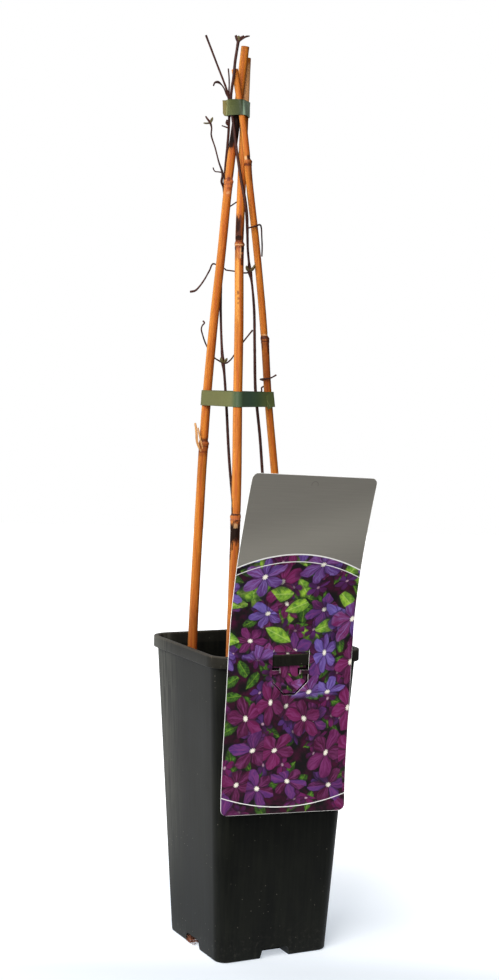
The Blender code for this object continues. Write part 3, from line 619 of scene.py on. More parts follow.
def soilRings(wall):
    # rings up the inside of the pot, and then inwards over the uneven top
    look = soilLook
    base = potLook["floor"] + look["room"]
    loops = []
    for z in (base, base + look["foot"], *look["between"], look["top"] - look["relief"]):
        half = potHalf(z) - wall - potLook["sag"] - (look["footInset"] if z == base else 0)
        loops.append(roundedSquare(half, potCorner(z) - wall, z, steps=look["steps"]))
    rim = loops[-1]
    top = []
    for k in range(look["rings"]):
        share = 1 - 0.97 * k / (look["rings"] - 1)
        ring = []
        for x, y, _ in rim:
            px = x * share
            py = y * share
            lump = noise.fractal((px * 0.11, py * 0.11, 3.0), 1.0, 2.1, 3) * look["lumps"]
            grit = noise.noise((px * 0.8, py * 0.8, 7.0)) * look["grain"]
            calm = min(1.0, (1 - share) * look["calmRim"])
            ring.append((px, py, soilHeight(px, py) + (lump + grit) * calm))
        top.append(ring)
    return loops, top


def makeSoil(scatter, holes):
    look = soilLook
    wall = potLook["wall"] + look["room"]
    sides, top = soilRings(wall)
    body = loft(sides + top, "compost")
    back = potLook["footHalf"] - potLook["notchDepth"] - wall
    tools = []
    for q in range(4):
        tools.append(notchBlock(wall, 0.5, back, potLook["footHalf"] + potLook["past"], q, f"clear{q}"))
    body = combine(body, tools + holes, "DIFFERENCE", "compost")
    finish = soilFinish()
    addPiece("compost", cleaned(body), [finish], "soil", smoothAngle=60)
    print("compost", len(body.polygons), "faces")
    skin = loft(top[1:], "soilSkin", closed=False)
    for name, (density, seed, small, large, tilt) in look["bits"].items():
        bit = addObject("bit", crumbMesh(seed))
        mesh = grow(scatter, skin.copy(), name, Bit=bit, Density=density, Seed=seed,
                    Smallest=small, Largest=large, Tilt=tilt, Finish=finish)
        bpy.data.objects.remove(bit)
        addPiece(name, mesh, [finish], smoothAngle=50)
        print(name, len(mesh.polygons), "faces")


def crumbMesh(seed):
    # an uneven lump, 1 mm across before it is stretched
    bm = bmesh.new()
    bmesh.ops.create_icosphere(bm, subdivisions=1, radius=0.5 * mm)
    for vert in bm.verts:
        way = vert.co.normalized()
        vert.co *= 1 + 0.35 * noise.noise(way * 1.7 + Vector((seed, 0, 0)))
    return meshFrom(bm, "crumb")


def soilFinish():
    look = soilLook
    f = Finish("compostEarth", Specular_IOR_Level=0.25)
    place = f.place()
    clump = f.noise(place, scale=0.22, detail=4, rough=0.6)
    grit = f.noise(place, scale=1.4, detail=4, rough=0.7)
    shade = f.attribute("shade")
    colour = f.blend(clump.step(0.35, 0.7), look["wet"], look["peat"])
    colour = f.blend(grit.step(0.5, 0.8) * 0.5, colour, look["bark"])
    colour = f.blend(shade.step(0.45, 1.0) * 0.75, colour, look["bark"])
    colour = f.blend(shade.step(0.9, 0.97) * 0.8, colour, look["straw"])
    return f.close(colour, grit * 0.2 + 0.78, grit, 0.0004)


# Canes

caneShared = {
    "foot": 20.0, "sides": 28, "rowStep": 6.0, "nodeReach": 9.0, "nodeStep": 0.45,
    "rise": 0.34, "spread": 1.3,          # the ring at a node
    "scarRise": 0.2, "scarDrop": 2.6, "scarSpread": 0.5,
    "neckDip": 0.16, "neckAbove": 2.4, "neckSpread": 1.1,
    "lump": 0.07, "nodeLump": 0.2, "groove": 0.42, "grooveLength": 16, "rough": 0.05,
    "hollow": 0.42, "hollowDepth": 6.0, "sawnEdge": 0.12,
    "softSide": 0.22,                     # how softly a mark fades round the cane
    "straw": rgb(187, 110, 34), "amber": rgb(166, 82, 28), "rust": rgb(96, 38, 14),
    "pink": rgb(166, 92, 58), "soot": rgb(15, 8, 6), "umber": rgb(58, 26, 14), "pale": rgb(206, 160, 112),
    "gold": rgb(204, 142, 66), "endGrain": rgb(196, 152, 100),
    "pith": rgb(104, 70, 40), "pithDark": rgb(48, 28, 16),
}
# Nodes: height, side that bulges in degrees from the viewer (right positive), how far it bulges
# Marks: height, half length, side, half width in degrees, strength, colour
caneLooks = {
    "cane_left": {
        "route": [(-37.0, 27.0, 20), (-37.8, 26.4, 120), (-37.4, 24.2, 220), (-36.1, 21.4, 300),
                  (-34.1, 18.5, 380), (-31.1, 15.1, 442), (-27.9, 12.1, 490), (-25.0, 9.2, 541),
                  (-20.7, 7.0, 587), (-17.3, 4.8, 629.5)],
        "nodes": [(354.5, 60, 0.5), (537, 70, 0.4)], "radius": (3.6, 2.85), "seed": 1.0,
        "marks": [(573, 14, -10, 175, 0.8, "rust"), (574, 11, -10, 175, 0.9, "umber"),
                  (574, 9, 30, 90, 0.9, "soot"), (564, 4, -45, 55, 0.95, "soot"),
                  (535, 7, 10, 60, 0.45, "pink"), (542.5, 2.2, 76, 24, 0.95, "soot"),
                  (538.5, 1.5, 0, 22, 0.8, "rust"), (532, 0.8, 25, 34, 0.55, "rust"),
                  (529, 0.8, 10, 26, 0.45, "pale"), (352, 6, 10, 120, 0.45, "rust"),
                  (357, 1.0, 20, 80, 0.6, "umber"), (348.6, 0.7, 10, 90, 0.7, "rust"),
                  (340, 14, 0, 175, 0.25, "rust"), (208, 26, 0, 180, 0.45, "rust")],
    },
    "cane_middle": {
        "route": [(-37.0, -37.0, 20), (-40.2, -42.0, 120), (-39.9, -42.8, 205), (-36.8, -37.6, 260),
                  (-32.3, -29.6, 328), (-28.8, -20.9, 384), (-25.3, -12.6, 443), (-23.2, -6.0, 489),
                  (-20.4, -1.0, 525), (-14.4, 9.2, 587), (-12.5, 11.5, 623)],
        "nodes": [(307, -80, 0.5), (493, 75, 0.45)], "radius": (3.75, 2.85), "seed": 5.0,
        "marks": [(603, 16, 40, 90, 0.6, "pale"), (503, 9, -20, 66, 0.75, "rust"),
                  (504, 6.5, -26, 42, 0.9, "umber"), (506.5, 5, -34, 34, 0.7, "soot"),
                  (497, 1.6, -20, 50, 0.85, "soot"), (499, 7, 56, 22, 0.8, "umber"),
                  (488, 6, 0, 80, 0.5, "rust"), (487, 4, 10, 40, 0.5, "pink"),
                  (492.6, 0.35, -10, 60, 0.75, "pale"), (490, 1.4, -66, 18, 0.9, "soot"),
                  (487, 3.6, 20, 12, 0.75, "pale"), (489.5, 2.2, 48, 24, 0.95, "soot"),
                  (484.5, 2.0, 44, 22, 0.9, "umber"), (480.5, 2.0, 40, 20, 0.9, "umber"),
                  (463, 19, -18, 20, 0.75, "gold"),
                  (459.5, 1.2, -14, 15, 0.7, "rust"), (455.5, 0.8, -8, 18, 0.6, "rust"),
                  (452.5, 0.8, -14, 13, 0.5, "rust"),
                  (296.5, 7, -5, 84, 0.75, "umber"), (296, 5.4, -8, 66, 0.95, "soot"),
                  (301.0, 1.5, 5, 24, 0.5, "pale"), (304.6, 0.6, 16, 18, 0.9, "soot"),
                  (314, 5, -72, 24, 0.9, "soot"), (284.5, 6, -66, 18, 0.85, "soot"),
                  (287.5, 3.4, -30, 12, 0.8, "soot"), (290, 2.6, 18, 14, 0.7, "umber"),
                  (308.4, 0.6, -30, 60, 0.8, "umber"), (305.8, 1.0, 10, 70, 0.5, "pink"),
                  (311, 2.4, -56, 20, 0.9, "umber"), (270, 16, 0, 175, 0.22, "rust"),
                  (212, 30, 0, 180, 0.3, "rust")],
    },
    "cane_right": {
        "route": [(38.0, 11.0, 20), (37.8, 11.0, 120), (32.4, 10.4, 205), (23.5, 7.5, 270),
                  (14.5, 4.6, 334), (6.7, 2.4, 386), (1.3, 0.2, 429), (-8.0, -2.3, 491),
                  (-15.6, -3.8, 535), (-20.0, -1.0, 575), (-26.1, 2.4, 612.8)],
        "nodes": [(305, 60, 0.4), (429, 70, 0.9), (550, 75, 0.7)], "radius": (3.35, 2.25), "seed": 9.0,
        "marks": [(552.4, 1.3, -25, 28, 0.9, "pale"), (553, 1.3, 40, 38, 0.95, "umber"),
                  (548, 1.0, -20, 60, 0.85, "rust"), (545, 9, 50, 50, 0.5, "umber"),
                  # the pale mark at 431.6, just above the ring, is a painted highlight on the ring's upper
                  # edge
                  (429.6, 0.9, 0, 170, 0.95, "umber"), (431.6, 0.5, 30, 60, 0.7, "pale"),
                  (425.5, 4.4, -55, 24, 0.8, "umber"), (424, 5.5, 55, 28, 0.85, "soot"),
                  (426, 3, 0, 30, 0.35, "umber"), (412, 16, 0, 175, 0.4, "rust"),
                  (401, 16, 0, 120, 0.3, "rust")],
    },
}


def bell(away, spread):
    return math.exp(-(away / spread) ** 2)


def caneRadius(look, z):
    foot, tip = look["radius"]
    share = (z - caneShared["foot"]) / (look["route"][-1][2] - caneShared["foot"])
    return foot + (tip - foot) * share


def caneRows(look, low, high, wider=0.0, fine=True):
    # rows up a cane, close together at its nodes
    shared = caneShared
    step = shared["rowStep"] if fine else 3 * shared["rowStep"]
    levels = set(np.arange(low, high, step)) | {low, high}
    reach = shared["nodeReach"]
    for node, _, _ in look["nodes"]:
        levels = {z for z in levels if abs(z - node) > reach or z in (low, high)}
        levels |= {z for z in np.arange(node - reach, node + reach, shared["nodeStep"]) if low <= z <= high}
    curve = smoothRoute(look["route"], 1.0)
    rows = []
    for z in sorted(levels):
        x = np.interp(z, curve[:, 2], curve[:, 0])
        y = np.interp(z, curve[:, 2], curve[:, 1])
        radius = caneRadius(look, z) + wider
        for node, _, _ in look["nodes"]:
            away = z - node
            radius += shared["rise"] * bell(away, shared["spread"])
            radius += shared["scarRise"] * bell(away + shared["scarDrop"], shared["scarSpread"])
            radius -= shared["neckDip"] * bell(away - shared["neckAbove"], shared["neckSpread"])
        if fine:
            radius += shared["rough"] * noise.noise((look["seed"], 0.0, z * 0.05))
        rows.append((x, y, z, radius, 0.0))
    return rows


def makeCanes(tubes):
    for name, look in caneLooks.items():
        rows = caneRows(look, caneShared["foot"], look["route"][-1][2])
        finish = bambooFinish(name, look)
        mesh = grow(tubes, strandMesh([rows], name), name, Sides=caneShared["sides"], Ribs=0, RibDepth=0.0,
                    Finish=finish)
        shapeCane(mesh, look)
        addPiece(name.replace("cane", "bamboo"), mesh, [finish, endFinish(), pithFinish()], name)
        print(name, len(mesh.polygons), "faces")


def shapeCane(mesh, look):
    bm = bmesh.new()
    bm.from_mesh(mesh)
    swellNodes(bm, look)
    hollowTop(bm, look)
    bm.to_mesh(mesh)
    bm.free()


def swellNodes(bm, look):
    # lumps, a one-sided bulge at each node and a bud groove over it
    shared = caneShared
    middle = bm.verts.layers.float_vector["middle"]
    for vert in bm.verts:
        centre = vert[middle]
        away = vert.co - centre
        if away.length < 0.1 * mm:
            continue
        z = centre.z / mm
        way = away.normalized()
        push = shared["lump"] * noise.noise(way * 1.3 + Vector((look["seed"], z * 0.03, 0)))
        for i, (node, bulgeSide, bulge) in enumerate(look["nodes"]):
            above = z > node
            near = bell(z - node, 3.2)
            spot = way * 2.2 + Vector((z * 0.5, look["seed"] + i, 0))
            push += shared["nodeLump"] * near * noise.noise(spot)
            fade = bell(z - node, 1.1) if above else math.exp((z - node) / 7)
            push += bulge * max(0.0, way.dot(faceWay(bulgeSide))) ** 1.5 * fade
            side = way.dot(faceWay(70 if i % 2 else -110))
            if side > 0.5:
                along = math.exp((node - z) / shared["grooveLength"]) if above else near
                push -= shared["groove"] * (side - 0.5) * along
        vert.co += way * push * mm


def hollowTop(bm, look):
    # sawn wood with a hollow in it at the upper end; materials 1 and 2
    top = max(bm.faces, key=lambda face: (len(face.verts) > 4) * face.calc_center_median().z)
    edge = caneShared["sawnEdge"] * mm
    rim = bmesh.ops.inset_region(bm, faces=[top], thickness=edge, use_even_offset=True)
    for face in rim["faces"] + [top]:
        face.material_index = 1
    reach = caneRadius(look, look["route"][-1][2]) * (1 - caneShared["hollow"]) * mm
    bmesh.ops.inset_region(bm, faces=[top], thickness=reach, use_even_offset=True)
    pushed = bmesh.ops.extrude_face_region(bm, geom=[top])["geom"]
    bmesh.ops.delete(bm, geom=[top], context="FACES_ONLY")
    for item in pushed:
        if isinstance(item, bmesh.types.BMVert):
            item.co.z -= caneShared["hollowDepth"] * mm
            for face in item.link_faces:
                face.material_index = 2


def faceWay(degrees):
    angle = math.radians(degrees)
    return toViewer * math.cos(angle) + toRight * math.sin(angle)


def bambooFinish(name, look):
    shared = caneShared
    f = Finish("bamboo_" + name.split("_")[1], Coat_Roughness=0.4, Specular_IOR_Level=0.1)
    ox, oy, _ = f.attribute("offset", out="Vector").parts()
    _, _, z = f.place().parts()
    seed = look["seed"]
    girth = distance(ox, oy) + 0.01

    def facing(side):
        way = faceWay(side)
        return (ox * way.x + oy * way.y) / girth

    # fibres, clouds and flecks; a painted highlight in gold on the side towards the lamps, painted shade in
    # rust on the far side, and redder and darker lower down
    fibre = f.noise(f.vector(ox * 2.6 + seed, oy * 2.6, z * 0.04), detail=5, rough=0.65)
    mottle = f.noise(f.vector(ox * 0.45 + seed, oy * 0.45, z * 0.035), detail=3)
    fleck = f.noise(f.vector(ox * 3.0, oy * 3.0 + seed, z * 0.9), detail=3, rough=0.6)
    dash = f.noise(f.vector(ox * 3.6 + seed, oy * 3.6, z * 0.32), detail=2, rough=0.5)
    colour = f.blend(mottle.step(0.32, 0.68), shared["amber"], shared["straw"])
    # painted light and shade: gold on the side that faces the lamps, rust on the side turned away
    colour = f.blend(facing(-70).step(0.55, 1.0) * 0.45, colour, shared["gold"])
    colour = f.blend(facing(100).step(0.1, 1.0) * 0.5, colour, shared["rust"])
    colour = f.blend(fibre.step(0.45, 0.7) * 0.55, colour, shared["rust"])
    colour = f.blend(fibre.step(0.42, 0.25) * 0.35, colour, shared["gold"])
    colour = f.blend(fleck.step(0.6, 0.8) * 0.35, colour, shared["rust"])
    colour = f.blend(dash.step(0.7, 0.76) * 0.6, colour, shared["umber"])
    colour = f.blend(z.step(300, 190) * 0.35, colour, shared["rust"])
    # a pink band and two creases at each node
    for node, _, _ in look["nodes"]:
        wander = f.noise(f.vector(ox * 0.5, oy * 0.5, seed), detail=2) * 1.4 - 0.7
        away = z - node + wander
        band = (away + 1.0).size().step(5.5, 1.0)
        colour = f.blend(band * 0.3, colour, shared["pink"])
        crease = (away - 1.7).size().step(0.7, 0.2).atLeast((away + 2.0).size().step(0.5, 0.12))
        colour = f.blend(crease * 0.8, colour, shared["umber"])
        colour = f.blend((away + 1.95).size().step(0.28, 0.1) * fleck.step(0.3, 0.6) * 0.8, colour,
                         shared["soot"])
    rag = f.noise(f.vector(ox * 1.2, oy * 1.2 + seed, z * 0.18), detail=5, rough=0.7) - 0.5
    colour, soot = inkMarks(f, colour, look["marks"], facing, z, rag)
    f.feed("Coat Weight", mottle * 0.08)
    return f.close(colour, fibre * 0.22 + 0.38 + fleck * 0.1 + soot * 0.4, fibre * 0.7 + fleck * 0.3,
                   0.00009)


def inkMarks(f, colour, marks, facing, z, rag):
    # the colour with the ragged marks on it, and the cover of the sooty ones, which are duller
    shared = caneShared
    soot = 0.0
    for height, half, side, wide, strength, ink in marks:
        limit = math.cos(math.radians(wide))
        soft = min(shared["softSide"], (1 - limit) * 0.8)
        sideways = facing(side).step(limit - soft, limit + soft)
        upright = (z - height + rag * 1.5).size() / half
        mark = (1.25 - upright - rag * 2.4).step(0.05, 0.4) * sideways * strength
        colour = f.blend(mark, colour, shared[ink])
        if ink == "soot":
            soot = mark + soot
    return colour, soot


def endFinish():
    f = Finish("sawnEnd", Specular_IOR_Level=0.2)
    dots = f.add("ShaderNodeTexVoronoi", {}, {"Vector": f.place(), "Scale": 3.2})
    colour = f.blend(dots.step(0.1, 0.4), caneShared["pith"], caneShared["endGrain"])
    return f.close(colour, dots * 0.1 + 0.75)


def pithFinish():
    f = Finish("pithHollow", Specular_IOR_Level=0.1)
    shade = f.noise(f.place(), scale=2.5, detail=3)
    return f.close(f.blend(shade, caneShared["pithDark"], caneShared["pith"]), shade * 0.1 + 0.85)


# Dried leaf sheath on the left cane

huskLook = {
    "outer": [(-36.6, 17.6, 347.5), (-38.7, 18.8, 351), (-40.3, 19.7, 356), (-40.7, 19.9, 361.5),
              (-41.2, 20.1, 365.8), (-41.7, 20.4, 368.6)],
    "inner": [(-36.7, 16.8, 350.5), (-38.4, 17.6, 357), (-39.5, 18.2, 362.4), (-40.0, 18.5, 365.4)],
    "width": 2.9, "innerWidth": 1.885, "thick": 0.35, "tip": 0.15, "step": 0.9, "across": 5,
    "facing": -60,                        # degrees from the viewer, right positive
    "pale": rgb(206, 158, 98), "dark": rgb(150, 96, 52),
}


def bladeLoops(route, width, cup):
    # a thin curved strip along a route; cup is how much its sides curl
    look = huskLook
    line = smoothRoute(route, look["step"])
    count = len(line)
    facing = faceWay(look["facing"])
    loops = []
    for i, point in enumerate(line):
        along = Vector(line[min(i + 1, count - 1)] - line[max(i - 1, 0)]).normalized()
        out = (facing - along * along.dot(facing)).normalized()
        side = along.cross(out)
        bulge = math.sin(math.pi * (1 - 0.82 * i / (count - 1))) ** 0.7
        spread = width * (look["tip"] + (1 - look["tip"]) * bulge)
        front = []
        back = []
        for k in range(look["across"]):
            t = 2 * k / (look["across"] - 1) - 1
            rough = 1 + 0.12 * noise.noise((point[0], point[1] + t * 3, point[2]))
            base = Vector(point) + side * t * spread / 2 * rough - out * cup * spread * (t * t - 0.4)
            front.append(base + out * look["thick"] / 2)
            back.append(base - out * look["thick"] / 2)
        loops.append(front + back[::-1])
    return loops


def makeHusk():
    look = huskLook
    bm = bmesh.new()
    for route, width, cup in (("outer", "width", 0.28), ("inner", "innerWidth", 0.2)):
        blade = loft(bladeLoops(look[route], look[width], cup), "blade")
        bm.from_mesh(blade)
        bpy.data.meshes.remove(blade)
    addPiece("leaf_sheath", meshFrom(bm, "leaf_sheath", outward=False), [huskFinish()])
    print("leaf sheath")


def huskFinish():
    f = Finish("driedSheath", Specular_IOR_Level=0.3)
    x, y, z = f.place().parts()
    grain = f.noise(f.vector(x * 2.5, y * 2.5, z * 0.35), detail=4, rough=0.6)
    colour = f.blend(grain.step(0.3, 0.75), huskLook["dark"], huskLook["pale"])
    return f.close(colour, grain * 0.2 + 0.6, grain, 0.0001)


# Stems

stemLook = {
    "sides": 12, "ribs": 6, "ribDepth": 0.07, "mainStep": 1.6, "shootStep": 0.8, "knots": 0.09,
    "budTip": 0.3, "budTone": 1.0, "shootTone": 0.2,
    "bark": rgb(66, 31, 22), "plum": rgb(40, 17, 14), "pale": rgb(98, 60, 42),
    "bud": rgb(112, 104, 62), "budDark": rgb(62, 50, 34),
}
stemLeft = [(-5.0, 2.6, 166, 1.3), (-5.4, 3.0, 198, 1.2), (-8.0, 3.9, 225, 1.1), (-12.3, 5.1, 269, 1.0),
            (-15.7, 6.0, 301, 0.95), (-20.1, 7.8, 343, 0.95), (-22.7, 9.2, 381, 0.95),
            (-24.3, 11.2, 406, 0.95), (-24.8, 12.2, 411.5, 1.3), (-25.2, 13.6, 421, 0.9),
            (-25.6, 16.4, 450, 0.85), (-25.3, 17.0, 487, 0.85), (-25.2, 15.8, 521, 0.85),
            (-26.0, 14.0, 544, 0.85), (-25.9, 11.7, 560, 0.85), (-26.2, 9.4, 573, 0.85),
            (-26.6, 8.5, 587, 0.85), (-27.4, 8.2, 594, 0.8), (-29.4, 8.1, 600, 0.7),
            (-36.3, 9.3, 616, 0.65), (-44.5, 11.2, 635.4, 0.7)]
leftShoots = {
    "petiole_left": [(-24.8, 12.0, 411.3, 0.8), (-27.0, 14.3, 412.8, 0.6), (-28.4, 18.0, 414.5, 0.5),
                     (-30.6, 21.6, 418.8, 0.5), (-34.2, 21.8, 424.8, 0.5), (-37.6, 19.2, 430, 0.5),
                     (-39.2, 18.5, 434.5, 0.5), (-38.8, 17.8, 437, 0.5), (-37.5, 17.2, 438.8, 0.55),
                     (-37.9, 18.7, 440.2, 0.55)],
    "petiole_right": [(-24.8, 12.0, 411.3, 0.8), (-23.2, 10.3, 411.2, 0.6), (-21.8, 6.6, 413.4, 0.5),
                      (-22.0, 0.2, 417, 0.5), (-23.6, -9.4, 421.5, 0.5), (-22.2, -13.8, 426, 0.5),
                      (-19.6, -16.4, 430.6, 0.5), (-17.0, -17.4, 434.2, 0.6)],
    "clasp": [(-25.2, 15.6, 519.4, 0.7), (-22.8, 12.7, 520, 0.5), (-22.1, 8.6, 521.2, 0.45),
              (-20.2, 4.8, 523.2, 0.45), (-17.2, 1.6, 524.6, 0.5)],
    "bud_left": [(-25.0, 12.0, 411.5, 0.9), (-26.4, 11.4, 413.2, 1.1), (-27.2, 11.0, 415.2, 0.5)],
    "bud_right": [(-24.6, 12.0, 411.5, 0.9), (-23.4, 10.6, 413, 1.0), (-22.6, 10.0, 414.8, 0.5)],
    "side_shoot": [(-25.4, 15.2, 526.5, 0.75), (-26.0, 15.4, 530.5, 0.65), (-27.2, 13.8, 533.5, 0.75),
                   (-29.3, 12.3, 537, 0.9), (-29.1, 11.5, 540.6, 0.9), (-29.4, 11.4, 543.4, 0.85),
                   (-31.7, 12.5, 550.3, 0.6), (-34.5, 12.9, 559.6, 0.55), (-37.6, 13.3, 568.4, 0.6),
                   (-37.7, 12.9, 573.4, 0.6), (-38.8, 13.2, 576.8, 0.85), (-40.9, 13.8, 579.5, 0.7),
                   (-41.8, 14.3, 581, 0.5)],
    "side_twig": [(-29.4, 11.4, 543.2, 0.6), (-31.9, 12.7, 543.5, 0.45), (-33.8, 13.6, 543.7, 0.45),
                  (-34.8, 14.1, 545.1, 0.45), (-35.1, 14.3, 546.4, 0.5)],
    "bud_side_a": [(-38.7, 13.2, 576.5, 0.8), (-37.7, 12.7, 579, 0.9), (-37.2, 12.4, 580.6, 0.5)],
    "bud_side_b": [(-38.7, 13.2, 576.5, 0.7), (-41.2, 14.4, 576.2, 0.6), (-43.0, 15.3, 576.4, 0.5)],
    "twig": [(-26.4, 8.8, 573.6, 0.6), (-28.8, 9.2, 574.2, 0.5), (-31.4, 9.9, 575, 0.4)],
    "twig_bud": [(-26.4, 8.8, 575.2, 0.7), (-28.2, 8.9, 577, 0.8), (-27.9, 8.7, 579.2, 0.5)],
    "top_short": [(-27.4, 8.2, 595, 0.7), (-27.5, 7.7, 603, 0.5), (-27.7, 7.8, 608, 0.5),
                  (-28.1, 8.5, 614, 0.5)],
    "top_curl": [(-27.4, 8.2, 594, 0.7), (-29.4, 8.0, 596.5, 0.5), (-31.2, 8.3, 600.4, 0.45),
                 (-33.3, 8.6, 602.8, 0.5), (-35.4, 9.2, 604.2, 0.9), (-37.6, 9.7, 603.6, 0.6),
                 (-38.3, 10.3, 601.4, 0.5)],
}
stemRight = [(18.6, -0.8, 166, 1.3), (19.0, -0.8, 197, 1.25), (16.6, 0.2, 218, 1.15),
             (10.5, 1.5, 269, 1.05), (3.3, 1.7, 334, 1.0), (0.3, 1.3, 360, 1.0),
             (-2.5, 1.4, 380, 1.0), (-4.0, 1.9, 394, 1.0), (-5.6, 1.6, 424, 0.95),
             (-7.2, 0.9, 450, 0.9), (-10.1, 0.5, 470, 0.9), (-11.5, 0.5, 475.5, 1.6),
             (-12.6, -0.4, 480.5, 0.9), (-14.6, -1.9, 490, 0.8), (-16.6, -4.2, 504.5, 0.95),
             (-18.2, -5.7, 515, 1.05), (-20.4, -6.1, 526, 1.05), (-22.4, -4.6, 537, 1.0),
             (-23.5, -1.9, 549, 0.95), (-24.5, 0.4, 560, 0.95), (-25.5, 2.2, 571.5, 0.9),
             (-26.0, 4.2, 580, 0.9), (-26.9, 4.9, 587, 0.9), (-28.4, 2.4, 595, 0.9),
             (-28.3, -0.9, 608, 0.95), (-27.5, -0.7, 617, 0.95), (-26.0, -0.5, 627, 0.95),
             (-25.2, -0.3, 632.0, 1.15)]
rightShoots = {
    "petiole_left": [(-11.5, 0.6, 474.9, 0.9), (-14.0, 1.2, 474.1, 0.6), (-18.4, 0.6, 474.3, 0.5),
                     (-22.4, 0.2, 474.7, 0.5), (-24.6, 5.6, 475.4, 0.5), (-24.3, 12.6, 476.2, 0.5),
                     (-23.0, 16.2, 477, 0.5), (-24.2, 19.3, 478.3, 0.5), (-27.6, 20.2, 479.8, 0.5),
                     (-31.6, 18.6, 480.2, 0.55), (-35.3, 15.8, 475.3, 0.55),
                     (-39.0, 16.3, 468.6, 0.55), (-41.7, 17.6, 464.2, 0.6), (-44.2, 19.4, 461.1, 0.7),
                     (-47.2, 21.5, 460.2, 0.8)],
    "bud_left": [(-11.7, 0.5, 475.5, 0.9), (-13.6, 0.2, 477, 1.1), (-14.6, 0.0, 479.2, 0.5)],
    "bud_right": [(-11.3, 0.5, 475.5, 0.9), (-10.7, -3.4, 477.4, 1.0), (-10.0, -4.6, 480.0, 0.5)],
    "clasp_upper": [(-16.6, -4.2, 504.2, 0.8), (-16.2, -5.5, 504.7, 0.55), (-14.1, -6.3, 505.3, 0.5),
                    (-11.6, -6.8, 506.2, 0.5), (-8.0, -6.6, 507.2, 0.6), (-5.9, -4.6, 505.0, 0.5),
                    (-4.8, -3.4, 499.3, 0.5), (-3.9, -2.6, 492.8, 0.5), (-3.8, -2.4, 485.8, 0.5)],
    "clasp_lower": [(-3.4, 1.7, 387.3, 0.7), (-0.8, 2.0, 390.2, 0.5), (1.5, 2.9, 392.4, 0.55),
                    (3.1, 6.1, 394.6, 0.55), (6.2, 6.3, 396.6, 0.55), (5.8, 6.2, 399, 0.55),
                    (1.6, 5.2, 400.3, 0.6), (0.6, 1.8, 400.6, 0.6), (2.0, -1.9, 401.0, 0.6),
                    (5.4, -2.6, 401.6, 0.55), (8.0, -2.0, 402.6, 0.5), (10.2, -1.9, 403.8, 0.6)],
    "top_stub_left": [(-25.3, -0.3, 631.0, 1.0), (-26.4, 0.0, 633.6, 1.05), (-27.2, 0.2, 635.4, 0.75)],
    "top_stub_right": [(-25.1, -0.3, 631.0, 1.0), (-23.8, -0.8, 633.6, 1.05), (-21.6, -1.7, 635.2, 0.75)],
    "bud_top": [(-25.2, -0.3, 631.4, 1.1), (-25.1, -0.3, 634.0, 1.3), (-25.1, -0.3, 635.4, 0.8)],
    "top_spike": [(-24.9, -0.4, 631.6, 0.8), (-23.0, -1.7, 633.0, 0.5), (-21.0, -3.4, 634.6, 0.7),
                  (-19.0, -5.1, 635.0, 0.4)],
}


def stemStrand(route, step, tone, seed):
    # a strand with knotty thickness; buds end in a point
    look = stemLook
    rows = []
    for i, (x, y, z, radius) in enumerate(smoothRoute(route, step)):
        swell = 1 + look["knots"] * noise.noise((seed, i * step * 0.35, 0.0))
        rows.append((x, y, z, radius * swell, tone))
    if tone == look["budTone"]:
        x, y, z, radius, _ = rows[-1]
        rows[-1] = (x, y, z, radius * look["budTip"], tone)
    return rows


def makeStems(tubes):
    look = stemLook
    finish = barkFinish()
    for name, main, shoots in (("stem_left", stemLeft, leftShoots), ("stem_right", stemRight, rightShoots)):
        strands = [stemStrand(main, look["mainStep"], 0.0, 2.0)]
        for i, (key, route) in enumerate(shoots.items()):
            tone = look["budTone"] if key.startswith("bud") else look["shootTone"]
            strands.append(stemStrand(route, look["shootStep"], tone, 4.0 + i))
        mesh = grow(tubes, strandMesh(strands, name), name, Sides=look["sides"], Ribs=look["ribs"],
                    RibDepth=look["ribDepth"], Finish=finish)
        addPiece(name.replace("stem", "vine"), mesh, [finish], name, smoothAngle=60)
        print(name, len(mesh.polygons), "faces")


def barkFinish():
    look = stemLook
    f = Finish("vineBark", Specular_IOR_Level=0.2)
    ox, oy, oz = f.attribute("offset", out="Vector").parts()
    along = f.attribute("along")
    tone = f.attribute("tone")
    grain = f.noise(f.vector(ox * 3.5, oy * 3.5 + oz * 2.0, along * 0.25), detail=4, rough=0.6)
    patch = f.noise(f.vector(ox * 0.6, oy * 0.6, along * 0.06), detail=3)
    colour = f.blend(patch.step(0.35, 0.65), look["plum"], look["bark"])
    colour = f.blend(grain.step(0.55, 0.85) * 0.55, colour, look["pale"])
    buds = f.blend(grain.step(0.35, 0.7), look["budDark"], look["bud"])
    colour = f.blend(tone.step(0.5, 0.9), colour, buds)
    return f.close(colour, grain * 0.25 + 0.5, grain, 0.00012)


# Ties

tieLook = {
    "width": 10.6, "thick": 0.3, "gap": 0.3, "solid": 0.6, "rows": 7, "arcSteps": 12, "runStep": 0.8,
    "lower": 386.6, "upper": 587.0, "tail": (4.5, 9.0), "dip": 2.0, "tab": (2.3, 4.5),
    "tabWay": (-0.894, 0.449), "buckle": 0.22, "inward": -0.08, "uvSpan": 200,
    "dipRun": 7.0, "skew": (0.05, 3.0), "roundEnd": (0.38, 2.4),
    # film is the colour of the painted highlight on the fold
    "deep": rgb(34, 48, 32), "film": rgb(140, 146, 104),
    # painted light and shade: how the colour changes to the right, as seen from the front, olive where the
    # tape faces the lamps, dark green where it turns away, paler on the upper tie's last face: place in mm,
    # colour
    "tints": {"tie_lower": ((-30, rgb(90, 90, 50)), (-21, rgb(92, 94, 54)), (-18.5, rgb(66, 80, 52)),
                            (-8, rgb(66, 88, 70)), (-2, rgb(74, 94, 64)), (4, rgb(98, 108, 64))),
              "tie_upper": ((-31, rgb(112, 100, 56)), (-28, rgb(80, 84, 46)), (-23, rgb(62, 68, 40)),
                            (-18.4, rgb(50, 58, 40)), (-17.6, rgb(130, 150, 128)),
                            (-13, rgb(162, 180, 152)))},
    "seam": {"tie_lower": 0.6, "tie_upper": 3.7},       # how far the painted highlight on the fold lies from the end
}
tapeHug = tieLook["gap"] + tieLook["solid"] / 2 + 0.1
tapeLayer = tieLook["solid"] + tieLook["gap"]


